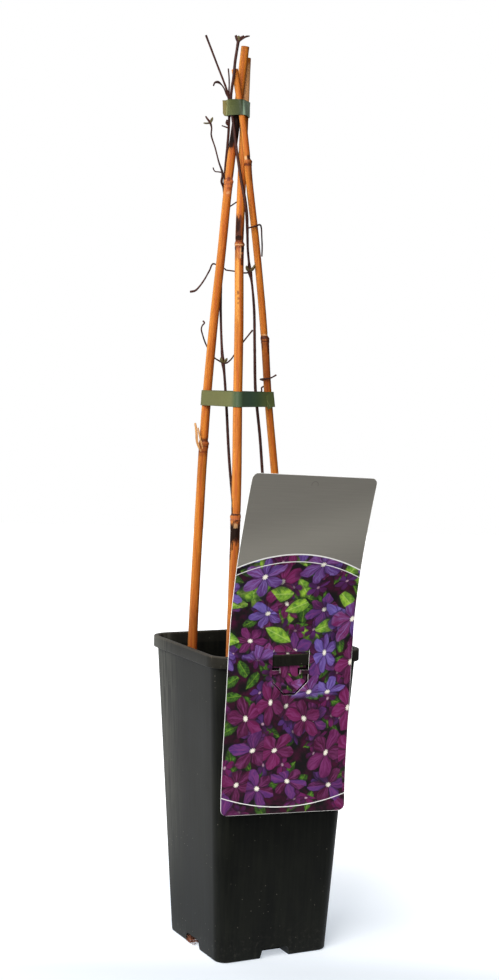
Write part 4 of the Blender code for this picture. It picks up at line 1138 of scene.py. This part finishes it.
def leaving(start, end):
    # outward direction where a clockwise belt leaves one circle for the next
    dx = end[0] - start[0]
    dy = end[1] - start[1]
    lean = math.asin((start[2] - end[2]) / math.hypot(dx, dy))
    return math.atan2(dy, dx) + math.pi / 2 - lean


def beltPath(circles):
    # a belt from the first to the last circle, clockwise round those between; radius 0 is a bare point
    angles = [leaving(a, b) for a, b in zip(circles, circles[1:])]
    path = []
    for i, (x, y, radius) in enumerate(circles):
        if radius == 0:
            path.append((x, y))
            continue
        arrive = angles[i - 1]
        leave = angles[i]
        while leave > arrive:
            leave -= 2 * math.pi
        for k in range(tieLook["arcSteps"] + 1):
            angle = arrive + (leave - arrive) * k / tieLook["arcSteps"]
            path.append((x + radius * math.cos(angle), y + radius * math.sin(angle)))
    return path


def onward(circle, following, reach):
    # a point of the straight run from one circle to the next
    x, y, radius = circle
    angle = leaving(circle, following)
    return (x + radius * math.cos(angle) + reach * math.sin(angle),
            y + radius * math.sin(angle) - reach * math.cos(angle), 0)


def caneCircle(name, z, extra=0.0):
    look = caneLooks[name]
    x, y = routeAt(look["route"], z)
    return x, y, caneRadius(look, z) + tapeHug + extra


def stemCircle(route, z):
    x, y, radius = routeAt(route, z)
    return x, y, radius + tapeHug


def lowerBelt(z):
    right = caneCircle("cane_right", z)
    middle = caneCircle("cane_middle", z)
    left = caneCircle("cane_left", z)
    over = caneCircle("cane_middle", z, tapeLayer)
    way = leaving(right, middle)
    lift = (right[0] + math.cos(way) * tapeLayer / 2, right[1] + math.sin(way) * tapeLayer / 2,
            right[2] + tapeLayer / 2)
    tail = [onward(lift, over, reach) for reach in tieLook["tail"]]
    return beltPath([onward(right, middle, 0.0), middle, left, lift, *tail])


def upperBelt(z):
    first = stemCircle(stemLeft, z)
    last = stemCircle(stemRight, z)
    canes = [caneCircle(name, z) for name in ("cane_middle", "cane_right")]
    out = tieLook["tabWay"]
    tab = []
    for aside in (tapeLayer / 2, -tapeLayer / 2):
        x = first[0] + out[1] * aside
        y = first[1] - out[0] * aside
        tab.append([(x + out[0] * reach, y + out[1] * reach, 0) for reach in tieLook["tab"]])
    return beltPath([*reversed(tab[0]), *canes, last, *tab[1]])


def evenPath(path, count):
    # the same path with points spread evenly along it
    pts = np.array(path)
    runs = np.concatenate(([0], np.cumsum(np.hypot(*np.diff(pts, axis=0).T))))
    spots = np.linspace(0, runs[-1], count)
    return np.interp(spots, runs, pts[:, 0]), np.interp(spots, runs, pts[:, 1]), spots


def pathLength(path):
    return sum(math.dist(p, q) for p, q in zip(path, path[1:]))


def tapeRows(bm, belt, middle, dip, endShape):
    # rows of points on the band's back and front, and where each point lies on the strip
    look = tieLook
    count = int(pathLength(belt(middle)) / look["runStep"])
    back = []
    front = []
    places = {}
    for r in range(look["rows"]):
        z = middle + look["width"] * (r / (look["rows"] - 1) - 0.5)
        xs, ys, spots = evenPath(belt(z), count)
        lines = ([], [])
        for i in range(count):
            a = min(i + 1, count - 1)
            b = max(i - 1, 0)
            run = math.hypot(xs[a] - xs[b], ys[a] - ys[b])
            wave = max(look["inward"], look["buckle"] * noise.noise((spots[i] * 0.16, z * 0.12, middle)))
            drop = dip * max(0.0, 1 - (count - 1 - i) * look["runStep"] / look["dipRun"])
            up = middle + endShape(z - middle, spots[i], spots[-1]) - drop
            for line, half in zip(lines, (-look["thick"] / 2, look["thick"] / 2)):
                reach = (wave + half) / run
                vert = bm.verts.new(Vector((xs[i] + (ys[b] - ys[a]) * reach,
                                            ys[i] + (xs[a] - xs[b]) * reach, up)) * mm)
                places[vert] = (spots[i] / look["uvSpan"], (z - middle) / look["uvSpan"] + 0.5)
                line.append(vert)
        back.append(lines[0])
        front.append(lines[1])
    return back, front, places


def tapeMesh(belt, middle, dip, name, endShape):
    # a thin band along the belt; its far end dips, and it buckles a little outwards
    bm = bmesh.new()
    back, front, places = tapeRows(bm, belt, middle, dip, endShape)
    last = len(front[0]) - 1
    for low, high, farLow, farHigh in zip(front, front[1:], back, back[1:]):
        for i in range(last):
            bm.faces.new((low[i], low[i + 1], high[i + 1], high[i]))
            bm.faces.new((farLow[i + 1], farLow[i], farHigh[i], farHigh[i + 1]))
        bm.faces.new((farLow[0], low[0], high[0], farHigh[0]))
        bm.faces.new((low[-1], farLow[-1], farHigh[-1], high[-1]))
    for i in range(last):
        bm.faces.new((back[0][i], back[0][i + 1], front[0][i + 1], front[0][i]))
        bm.faces.new((front[-1][i], front[-1][i + 1], back[-1][i + 1], back[-1][i]))
    layer = bm.loops.layers.uv.new("tapePlace")
    for face in bm.faces:
        for loop in face.loops:
            loop[layer].uv = places[loop.vert]
    return meshFrom(bm, name)


def lowerEnd(up, spot, total):
    # the free end is cut a little askew
    share, reach = tieLook["skew"]
    return up * (1 - share * max(0.0, 1 - (total - spot) / reach))


def upperEnd(up, spot, total):
    # both ends are rounded off at the bottom
    share, reach = tieLook["roundEnd"]
    left = min(spot, total - spot) / reach
    if left > 1 or up > 0:
        return up
    return up * (1 - share + share * math.sqrt(max(0.0, 1 - (1 - left) ** 2)))


def makeTies():
    look = tieLook
    for name, belt, middle, dip, end in (("tie_lower", lowerBelt, look["lower"], look["dip"], lowerEnd),
                                         ("tie_upper", upperBelt, look["upper"], 0.0, upperEnd)):
        length = pathLength(belt(middle))
        mesh = tapeMesh(belt, middle, dip, name, end)
        finish = tapeFinish(name, length)
        addPiece(name.replace("tie", "tape"), mesh, [finish], name, smoothAngle=50)
        print(name, round(length, 1), "mm of tape")


def tapeFinish(name, length):
    look = tieLook
    f = Finish("tape_" + name.split("_")[1], Specular_IOR_Level=0.14)
    u, v, _ = f.add("ShaderNodeUVMap", {"uv_map": "tapePlace"}).parts()
    run = u * look["uvSpan"]
    up = (v - 0.5) * look["uvSpan"]
    place = f.place()
    x, y, _ = place.parts()
    lines = f.noise(f.vector(run * 0.12, up * 3.0), detail=3, rough=0.6)
    aside = x * toRight.x + y * toRight.y
    start = look["tints"][name][0][0]
    span = look["tints"][name][-1][0] - start
    stops = [((at - start) / span, ink) for at, ink in look["tints"][name]]
    # painted light and shade, by place across the front
    colour = f.add("ShaderNodeValToRGB", {"stops": stops}, {0: (aside - start) / span})
    colour = f.blend(lines.step(0.5, 0.8) * 0.25, colour, look["deep"])
    edge = (up.size() - look["width"] / 2 + 0.7).step(-0.1, 0.7)
    colour = f.blend(edge * 0.35, colour, look["deep"])
    # a painted highlight along the fold near the end
    seam = (length - run - look["seam"][name]).size().step(0.55, 0.15)
    colour = f.blend(seam * 0.8, colour, look["film"])
    return f.close(colour, lines * 0.2 + 0.3, f.noise(place, scale=0.5, detail=3) + lines * 0.2, 0.0001)


# Label

cardLook = {
    "width": 95.0, "above": 128.0, "below": 104.8, "thick": 0.42, "corner": 4.5, "roll": math.radians(2.6),
    "x": -2.2, "z": 211.0, "y": -58.7, "row": 4.0,
    "profile": [(-104.8, 4.1), (-80, 2.0), (-50, 1.1), (-20, 0.6), (0, 0.0), (12, 0.0), (25, 0.0),
                (40, 1.0), (60, 3.5), (80, 7.1), (100, 11.5), (115, 15.1), (128, 18.5)],
    "tongue": [(6.4, 13.3), (-6.8, 13.3), (-6.8, 6.8), (-11.0, 6.8), (-11.0, 13.3), (-15.2, 13.6),
               (-24.0, 4.3)],
    "hole": [(6.4, 14.0), (-7.5, 14.0), (-7.5, 7.5), (-10.3, 7.5), (-10.3, 14.0), (-15.3, 14.0),
             (-24.4, 4.5)],
    "tonguePath": [(-58.7, 217.4), (-57.95, 216.75), (-56.75, 216.5), (-56.35, 215.6), (-56.3, 212),
                   (-56.35, 206.4), (-57.0, 202), (-58.0, 196.5), (-58.9, 190), (-59.1, 184)],
    "cornerSteps": 8, "uvSpan": 250, "brim": 0.15,
    "headerMiddle": 72.5, "headerBend": 0.0046, "footMiddle": -100.5, "footBend": 0.0034,
    "eyelet": 121.6, "eyeletRadius": 2.4,
    "grey": rgb(117, 114, 107), "shine": rgb(144, 141, 132), "dent": rgb(88, 84, 78),
    "paper": rgb(236, 236, 232), "back": rgb(205, 206, 202), "pulp": rgb(176, 172, 160),
    "maroon": rgb(66, 14, 44), "wine": rgb(110, 26, 78), "night": rgb(18, 16, 17),
    "rose": rgb(146, 70, 128), "violet": rgb(104, 86, 166), "plum": rgb(80, 46, 110),
    "lilac": rgb(146, 124, 196), "ink": rgb(30, 14, 40), "cream": rgb(244, 238, 222),
    "dusk": rgb(176, 140, 160), "lime": rgb(156, 196, 62), "leaf": rgb(78, 128, 42),
    "moss": rgb(28, 50, 24), "sap": rgb(206, 224, 132),
}


def thickened(middle, thick):
    # the two faces of a sheet, from the line through its middle (forward, up)
    front = []
    back = []
    for i, point in enumerate(middle):
        before = middle[max(i - 1, 0)]
        after = middle[min(i + 1, len(middle) - 1)]
        into = Vector((point[0] - before[0], point[1] - before[1]))
        out = Vector((after[0] - point[0], after[1] - point[1]))
        into = (into if into.length > 0 else out).normalized()
        out = (out if out.length > 0 else into).normalized()
        bend = (into + out).normalized()
        normal = Vector((-bend.y, bend.x)) * (thick / 2 / max(0.5, bend.dot(into)))
        front.append((point[0] + normal.x, point[1] + normal.y))
        back.append((point[0] - normal.x, point[1] - normal.y))
    return [p[0] for p in front], [p[1] for p in front], [p[0] for p in back], [p[1] for p in back]


def cardRows():
    # places along the hanging sheet, and where its front and back are there
    look = cardLook
    fine = smoothRoute([(along, out, 0.0) for along, out in look["profile"]], 2.0)
    span = [*np.arange(-look["below"], look["above"], 2.0), look["above"]]
    forward = [float(np.interp(s, fine[:, 0], fine[:, 1])) for s in span]
    rim = min(range(len(span)), key=lambda i: abs(span[i]))
    heights = [0.0]
    for i in range(1, len(span)):
        run = span[i] - span[i - 1]
        heights.append(heights[-1] + math.sqrt(run ** 2 - (forward[i] - forward[i - 1]) ** 2))
    middle = [(look["y"] - out, look["z"] + height - heights[rim]) for out, height in zip(forward, heights)]
    return (span, *thickened(middle, look["thick"]))


def tongueRows():
    # the same for the tongue, which hooks over the rim
    path = [tuple(p[:2]) for p in smoothRoute([(y, z, 0.0) for y, z in cardLook["tonguePath"]], 0.8)]
    span = [cardLook["tongue"][0][0]]
    for p, q in zip(path, path[1:]):
        span.append(span[-1] - math.dist(p, q))
    return (span[::-1], *thickened(path[::-1], cardLook["thick"]))


def cardOutline():
    # across and along, from the line where it leans on the rim
    look = cardLook
    corner = look["corner"]
    shift = (look["above"] - look["below"]) / 2
    reachX = look["width"] / 2 - corner
    reachY = (look["above"] + look["below"]) / 2 - corner
    loop = []
    for quarter in range(4):
        loop += cornerArc(quarter, reachX, reachY, corner, look["cornerSteps"])
    return [(x, y + shift) for x, y in loop]


def inTongue(x, along):
    # whether a place on the flat sheet is within the cut
    edge = cardLook["tongue"]
    if along > edge[0][0] - 0.01:
        return False
    for (upper, wide), (lower, narrow) in zip(edge, edge[1:]):
        if upper > lower and upper + 0.01 >= along >= lower - 0.01:
            if abs(x) <= wide + (narrow - wide) * (upper - along) / (upper - lower) + 0.01:
                return True
    return False


def flatCard():
    # the sheet laid flat, with the cut round the tongue, in narrow rows so that it can bend
    look = cardLook
    flat = prism(cardOutline(), 0, look["thick"], "card")
    outer = [(half, along) for along, half in look["hole"]]
    inner = [(half, along) for along, half in look["tongue"]]
    outer += [(-x, along) for x, along in reversed(outer)]
    inner += [(-x, along) for x, along in reversed(inner)]
    flat = combine(flat, [prism(outer + inner[::-1], -3, 3, "kerf")], "DIFFERENCE", "card")
    bm = bmesh.new()
    bm.from_mesh(flat)
    bmesh.ops.connect_verts_concave(bm, faces=bm.faces)
    cuts = [*np.arange(-look["below"] + look["row"], look["above"], look["row"]), *tongueRows()[0][1:-1]]
    for along in cuts:
        geom = list(bm.verts) + list(bm.edges) + list(bm.faces)
        bmesh.ops.bisect_plane(bm, geom=geom, dist=1e-6, plane_co=(0, along * mm, 0), plane_no=(0, 1, 0))
    bm.normal_update()
    return bm


def makeCard():
    look = cardLook
    bm = flatCard()
    # materials 0 to 2: front, back, edge
    layer = bm.loops.layers.uv.new("cardPlace")
    for face in bm.faces:
        front = face.calc_center_median().z > look["thick"] / 2 * mm
        face.material_index = 2 if abs(face.normal.z) < 0.5 else (0 if front else 1)
        for loop in face.loops:
            x, along, _ = loop.vert.co / mm
            loop[layer].uv = (x / look["uvSpan"] + 0.5, along / look["uvSpan"] + 0.5)
    card = cardRows()
    tongue = tongueRows()
    lean = math.cos(look["roll"])
    tip = math.sin(look["roll"])
    for vert in bm.verts:
        x, along, depth = vert.co / mm
        span, frontY, frontZ, backY, backZ = tongue if inTongue(x, along) else card
        near = depth > look["thick"] / 2
        y = float(np.interp(along, span, frontY if near else backY))
        up = float(np.interp(along, span, frontZ if near else backZ)) - look["z"]
        vert.co = Vector((look["x"] + x * lean + up * tip, y, look["z"] - x * tip + up * lean)) * mm
    mesh = meshFrom(bm, "card", outward=False)
    finishes = [printFinish(), paperFinish("cardBack", look["back"], 0.45),
                paperFinish("cardEdge", look["paper"], 0.6)]
    addPiece("picture_label", mesh, finishes, "label", smoothAngle=30)
    print("label", len(mesh.polygons), "faces")


def paperFinish(name, colour, rough):
    f = Finish(name)
    pulp = f.noise(f.place(), scale=0.8, detail=4)
    return f.close(f.blend(pulp.step(0.3, 0.8) * 0.12, colour, cardLook["pulp"]), pulp * 0.1 + rough)


def cellLayer(f, spot, look):
    # one scattered motif: its own coordinates and three random numbers
    moved = f.sum(f.scaled(spot, 1 / look["size"]), look["shift"])
    settings = {"voronoi_dimensions": "2D"}
    values = {"Vector": moved, "Scale": 1.0, "Randomness": look["stray"]}
    centre = f.add("ShaderNodeTexVoronoi", settings, values, out="Position")
    luck = f.add("ShaderNodeTexVoronoi", settings, values, out="Color").parts()
    local = f.add("ShaderNodeVectorMath", {"operation": "SUBTRACT"}, {0: moved, 1: centre})
    turned = f.add("ShaderNodeVectorRotate", {"rotation_type": "Z_AXIS"},
                   {"Vector": local, "Angle": luck[0] * math.tau})
    x, y, _ = turned.parts()
    return x, y * (1 + luck[1] * look["squash"]), luck


def bloomLayer(f, spot, h, look, under):
    # flowers with pointed petals, a rib on each and a pale eye
    x, y, luck = cellLayer(f, spot, look)
    ripple = f.noise(f.vector(x * 3.0 + luck[2] * 9, y * 3.0), detail=2) - 0.5
    reach = distance(x, y)
    turn = y.math("ARCTAN2", x) + ripple * 0.6
    petals = look["petals"]
    lobe = (turn * (petals / 2)).math("COSINE").size()
    number = (turn * (petals / math.tau) + 0.5).math("FLOOR")
    tone = f.add("ShaderNodeTexWhiteNoise", {"noise_dimensions": "2D"},
                 {"Vector": f.vector(number + luck[2] * 50, luck[1] * 50)})
    size = look["radius"] * (tone * 0.16 + luck[0] * 0.2 + 0.7)
    edge = size * (lobe ** look["point"] * (1 - look["waist"]) + look["waist"])
    share = reach / edge
    there = (luck[1] + h * look["rise"]).step(look["rare"], look["rare"] + 0.02)
    under = f.blend(share.step(1.5, 0.9) * there * 0.7, under, look["shade"])
    veins = f.noise(f.vector(turn * 5, reach * 2.0 + luck[2] * 20), detail=4, rough=0.7)
    light = f.blend(luck[2].step(0.35, 0.8), look["light"], look["other"])
    colour = f.blend(tone.step(0.1, 0.9), look["dark"], light)
    colour = f.blend(veins.step(0.4, 0.7) * 0.5, colour, look["glint"])
    colour = f.blend(veins.step(0.5, 0.25) * 0.5, colour, look["dark"])
    colour = f.blend(lobe.step(0.5, 0.05) * 0.7, colour, look["shade"])
    colour = f.blend(share.step(0.35, 0.0) * 0.5, colour, look["shade"])
    rib = lobe.step(0.97, 0.999) * share.step(0.95, 0.5)
    colour = f.blend(rib * 0.3, colour, look["glint"])
    rays = (turn * 4.5).math("COSINE").size() * 0.5 + 0.5
    eye = (reach / (rays * look["eye"])).step(1.05, 0.75)
    colour = f.blend(eye, colour, look["cream"])
    return f.blend(share.step(1.0, 0.93) * there, under, colour)


def leafLayer(f, spot, h, look, under):
    # pointed leaves with a middle vein and side veins
    x, y, luck = cellLayer(f, spot, look)
    half = (1 - (x / look["long"]).size() ** 1.7) * look["wide"]
    share = y.size() / half.atLeast(0.001)
    there = (luck[2] + h * look["rise"]).step(look["rare"], look["rare"] + 0.02)
    inside = x.size().step(look["long"], look["long"] * 0.96) * there
    under = f.blend(share.step(1.8, 0.9) * inside * 0.6, under, look["shade"])
    sideVeins = ((x - y.size() * 0.9) * 34).math("COSINE").step(0.9, 1.0) * 0.6
    vein = y.size().step(0.035, 0.012).atLeast(sideVeins)
    light = f.noise(f.vector(x * 4 + luck[0] * 9, y * 4), detail=3)
    colour = f.blend(light.step(0.3, 0.7), look["dark"], look["light"])
    colour = f.blend(share.step(0.3, 1.0) * 0.35, colour, look["shade"])
    colour = f.blend(y.step(-0.02, 0.02) * 0.3, colour, look["dark"])
    colour = f.blend(vein * 0.35, colour, look["glint"])
    return f.blend(share.step(1.0, 0.9) * inside, under, colour)


def flowerPicture(f, spot, h):
    # layers from the back to the front; the violet ones come mostly higher up
    look = cardLook
    murk = f.noise(spot, scale=0.09, detail=4, rough=0.6)
    clump = f.noise(spot, scale=0.045, detail=2)
    leaves = {"size": 12.0, "shift": (3.1, 1.7, 0), "stray": 0.9, "squash": 0.3, "long": 0.7, "wide": 0.36,
              "rare": 0.25, "rise": 0.002, "dark": look["moss"], "light": look["leaf"],
              "shade": look["night"], "glint": look["lime"]}
    bright = dict(leaves, size=17.0, shift=(5.7, 9.4, 0), rare=0.66, rise=0.009, dark=look["leaf"],
                  light=look["lime"], shade=look["moss"], glint=look["sap"])
    tips = dict(bright, size=16.0, shift=(2.2, 5.3, 0), rare=0.88)
    small = {"size": 15.0, "shift": (7.3, 2.2, 0), "stray": 0.9, "squash": 0.8, "petals": 6, "radius": 0.72,
             "point": 1.2, "waist": 0.5, "rare": 0.25, "rise": 0.0, "dark": look["maroon"],
             "light": look["wine"], "other": look["plum"], "shade": look["night"], "glint": look["plum"],
             "eye": 0.1, "cream": look["dusk"]}
    wine = dict(small, size=23.0, shift=(1.4, 6.1, 0), radius=0.74, rare=0.3, squash=0.5,
                glint=look["rose"], cream=look["cream"])
    wide = dict(wine, size=30.0, shift=(4.7, 8.8, 0), radius=0.66, rare=0.42, rise=-0.002, petals=5,
                eye=0.085)
    near = dict(wine, size=25.0, shift=(3.2, 7.6, 0), stray=0.85, radius=0.7, rare=0.66, rise=0.006,
                dark=look["plum"], light=look["violet"], other=look["wine"], glint=look["lilac"],
                shade=look["ink"])
    front = dict(near, size=30.0, shift=(9.2, 3.6, 0), radius=0.66, rare=0.62, rise=0.005, eye=0.085)
    picture = f.blend(murk.step(0.4, 0.62), look["night"], look["maroon"])
    for layer, motif in ((leafLayer, leaves), (leafLayer, bright), (bloomLayer, small), (bloomLayer, wine),
                         (bloomLayer, wide), (leafLayer, tips), (bloomLayer, near), (bloomLayer, front)):
        picture = layer(f, spot, h, motif, picture)
    return f.blend(clump.step(0.5, 0.2) * 0.4, picture, look["night"])


def printFinish():
    look = cardLook
    f = Finish("printedCard", Specular_IOR_Level=0.45)
    u, v, _ = f.add("ShaderNodeUVMap", {"uv_map": "cardPlace"}).parts()
    x = (u - 0.5) * look["uvSpan"]
    h = (v - 0.5) * look["uvSpan"]
    picture = flowerPicture(f, f.vector(x, h), h)
    # the plain grey head over a bowed line
    bend = x * x
    header = h - (look["headerMiddle"] - bend * look["headerBend"])
    foot = h - (look["footMiddle"] + bend * look["footBend"])
    scan = f.noise(f.vector(x * 1.2, h * 1.2), detail=2)
    brushed = f.noise(f.vector(x * 0.03, h * 1.1), detail=4, rough=0.6)
    glare = (h - x * 0.3 - 80).size().step(30, 0)
    plain = f.blend(brushed.step(0.35, 0.7) * 0.12 + glare * 0.5 + scan * 0.1, look["grey"], look["shine"])
    picture = f.blend(header.step(-0.05, 0.05), picture, plain)
    # white lines along it and along the foot, and a white brim
    lines = (header.size() - 0.4).step(0.12, 0.0)
    lines = lines.atLeast(((header + 5.2).size() - 0.2).step(0.12, 0.0))
    lines = lines.atLeast((foot.size() - 0.25).step(0.12, 0.0))
    picture = f.blend(lines, picture, look["paper"])
    margin = (x.size() - look["width"] / 2 + look["brim"]).step(-0.05, 0.05)
    margin = margin.atLeast((h - look["above"] + look["brim"]).step(-0.05, 0.05))
    margin = margin.atLeast((0 - h - look["below"] + look["brim"]).step(-0.05, 0.05))
    picture = f.blend(margin, picture, look["paper"])
    # half an eyelet pressed into the head, its groove darkened with painted shade
    ring = (distance(x, h - look["eyelet"]) - look["eyeletRadius"]).size().step(0.35, 0.1)
    ring = ring * (h - look["eyelet"] + 0.7).step(-0.2, 0.2)
    picture = f.blend(ring * 0.6, picture, look["dent"])
    return f.close(picture, scan * 0.08 + 0.34, ring + scan * 0.08, 0.00005)


# Fine roots that show in the left drain notch

rootLook = {
    "threads": 90, "seed": 8, "steps": 8, "sides": 5, "radius": (0.16, 0.05), "stride": 1.0, "bend": 0.7,
    "start": (-42.4, 2.5, 0.5), "spread": (7, 9, 4.6), "climb": 0.5,
    "low": (-42.8, 0.5, 0.35), "high": (-30.0, 11.0, 5.8),       # the notch that they stay in
    "colour": rgb(142, 84, 58), "dark": rgb(58, 33, 23),
}


def makeRoots(tubes):
    look = rootLook
    chance = random.Random(look["seed"])
    thin, more = look["radius"]
    strands = []
    for _ in range(look["threads"]):
        x, y, z = look["start"]
        x += chance.random() * look["spread"][0]
        y += chance.random() * look["spread"][1]
        z += chance.random() ** 1.5 * look["spread"][2]
        heading = chance.uniform(0, 2 * math.pi)
        rows = []
        for _ in range(look["steps"]):
            forward = Vector((math.cos(heading), math.sin(heading))) * look["stride"]
            moved = (x + forward.x, y + forward.y, z + chance.uniform(-look["climb"], look["climb"]))
            x, y, z = [min(top, max(least, p)) for p, least, top in zip(moved, look["low"], look["high"])]
            heading += chance.uniform(-look["bend"], look["bend"])
            rows.append((x, y, z, thin + more * chance.random(), chance.random()))
        strands.append(rows)
    finish = rootFinish()
    mesh = grow(tubes, strandMesh(strands, "roots"), "drain_roots", Sides=look["sides"], Ribs=0,
                RibDepth=0.0, Finish=finish)
    addPiece("drain_roots", mesh, [finish])
    print("roots", len(mesh.polygons), "faces")


def rootFinish():
    f = Finish("fineRoots", Specular_IOR_Level=0.2)
    tone = f.attribute("tone")
    grain = f.noise(f.place(), scale=1.2, detail=3)
    return f.close(f.blend(tone * grain * 1.6, rootLook["dark"], rootLook["colour"]), grain * 0.2 + 0.7)


# Stage

stageLook = {
    # the table, in metres, and its colours; it glows, dimmer near the pot as a painted shadow, and is
    # darker in a strip in front of the pot as painted shade
    "floorFront": -0.16, "floorBack": 3.2, "floorLeft": 2.4, "floorRight": (0.26, 0.95), "drop": -0.0002,
    "floor": rgb(205, 207, 210), "fleck": rgb(225, 226, 230), "floorNear": rgb(168, 170, 172),
    "glowNear": rgb(172, 179, 187), "glowFar": (1.0, 1.0, 1.0, 1.0),
    "frontStrip": (15, 75), "shadeReach": (85, 380),      # mm from the middle of the pot
    "camera": (-546.7, -1074.0, 404.8),                   # in mm; the focal length is in pixels
    "heading": 26.66, "pitch": 3.91, "roll": 1.50, "focal": 1713.0, "frameHeight": 980,
    # where the bright side of the room lies, how it fades, how bright it is and how bright the rest
    "bright": (-0.66, 0.66, 0.36), "fade": (-0.15, 0.85), "back": 0.85, "room": 0.07,
    # place, target and size in metres, power, colour
    "lights": {"window": ((-1.2, -1.0, 1.5), (0, 0, 0.3), (1.1, 1.1), 38.0, (1.0, 0.99, 0.97)),
               "front": ((-0.9, -1.75, 0.9), (0, 0, 0.3), (1.5, 1.1), 24.0, (1.0, 1.0, 1.0)),
               "side": ((-1.4, 0.5, 0.9), (0, 0, 0.35), (0.9, 1.2), 6.0, (0.97, 0.98, 1.0))},
}


def makeFloor():
    # a white table that ends just in front of the pot, so that only the dark room is mirrored there
    look = stageLook
    near = look["floorFront"]
    far = look["floorBack"]
    bm = bmesh.new()
    corners = []
    for right, deep in ((-look["floorLeft"], near), (look["floorRight"][0], near),
                        (look["floorRight"][1], far), (-look["floorLeft"], far)):
        spot = toRight * right - toViewer * deep
        corners.append(bm.verts.new((spot.x, spot.y, look["drop"])))
    bm.faces.new(corners)
    f = Finish("floorPaper", Specular_IOR_Level=0.1, Emission_Strength=1.0, Roughness=0.9)
    place = f.place()
    x, y, _ = place.parts()
    soft = f.noise(place, scale=0.02, detail=2)
    # painted shade: a darker strip of table just in front of the pot
    ahead = (x * toViewer.x + y * toViewer.y).step(*look["frontStrip"])
    pale = f.blend(soft * 0.05, look["floor"], look["fleck"])
    f.feed("Base Color", f.blend(ahead, pale, look["floorNear"]))
    # the table glows, which is painted light; its glow is dimmer near the pot as a painted shadow
    away = distance(x, y).step(*look["shadeReach"]) * (1 - ahead * 0.5)
    f.feed("Emission Color", f.blend(away, look["glowNear"], look["glowFar"]))
    floor = addObject("floor", meshFrom(bm, "floor", outward=False), [f.material])


def makeCamera():
    look = stageLook
    data = bpy.data.cameras.new("camera")
    data.sensor_width = 36
    data.lens = look["focal"] / look["frameHeight"] * data.sensor_width
    data.clip_start = 0.05
    data.clip_end = 50
    camera = bpy.data.objects.new("camera", data)
    bpy.context.scene.collection.objects.link(camera)
    camera.location = Vector(look["camera"]) * mm
    level = Euler((math.radians(90 - look["pitch"]), 0, -math.radians(look["heading"])), "XYZ")
    turn = level.to_matrix() @ Euler((0, 0, math.radians(look["roll"])), "XYZ").to_matrix()
    camera.rotation_euler = turn.to_euler()
    bpy.context.scene.camera = camera


def addLight(name, place, target, size, power, colour):
    data = bpy.data.lights.new(name, "AREA")
    data.shape = "RECTANGLE"
    data.size, data.size_y = size
    data.energy = power
    data.color = colour
    light = bpy.data.objects.new(name, data)
    bpy.context.scene.collection.objects.link(light)
    light.location = place
    aim = Vector(target) - Vector(place)
    light.rotation_euler = aim.to_track_quat("-Z", "Y").to_euler()


def makeLights():
    # three lamps and a dim room with one bright side; the camera sees white paper instead
    look = stageLook
    for name, values in look["lights"].items():
        addLight(name, *values)
    world = bpy.data.worlds.new("room")
    bpy.context.scene.world = world
    world.use_nodes = True
    tree = Tree(world.node_tree)
    world.node_tree.nodes.clear()
    seen = tree.add("ShaderNodeLightPath", {}, {}, out="Is Camera Ray")
    way = tree.add("ShaderNodeTexCoord", {}, {}, out="Generated")
    side = sum(axis * share for axis, share in zip(way.parts(), look["bright"])).step(*look["fade"])
    level = side * look["back"] + look["room"]
    room = tree.add("ShaderNodeBackground", {}, {"Color": (0.96, 0.98, 1.0, 1), "Strength": level})
    paper = tree.add("ShaderNodeBackground", {}, {"Color": (1, 1, 1, 1), "Strength": 1.0})
    shown = tree.add("ShaderNodeMixShader", {}, {0: seen, 1: room, 2: paper})
    end = world.node_tree.nodes.new("ShaderNodeOutputWorld")
    world.node_tree.links.new(shown.socket, end.inputs["Surface"])
    bpy.context.scene.view_settings.view_transform = "Standard"


def plantHoles(tubes):
    # what is cut out of the compost round the canes and stems
    holes = []
    for look in caneLooks.values():
        rows = caneRows(look, caneShared["foot"] - soilLook["room"], soilLook["top"] + soilLook["over"],
                        wider=soilLook["room"], fine=False)
        holes.append(grow(tubes, strandMesh([rows], "caneHole"), "caneHole", Sides=16))
    for route in (stemLeft, stemRight):
        route = smoothRoute(route[:3], 6.0)
        rows = [(x, y, z, radius + soilLook["stemRoom"], 0.0) for x, y, z, radius in route]
        holes.append(grow(tubes, strandMesh([rows], "stemHole"), "stemHole", Sides=12))
    return holes


makeCamera()
makeLights()
makeFloor()
print("camera, lights and floor")
tubeGroup = tubeTree()
makePot()
makeCanes(tubeGroup)
makeHusk()
makeStems(tubeGroup)
makeSoil(scatterTree(), plantHoles(tubeGroup))
makeTies()
makeCard()
makeRoots(tubeGroup)
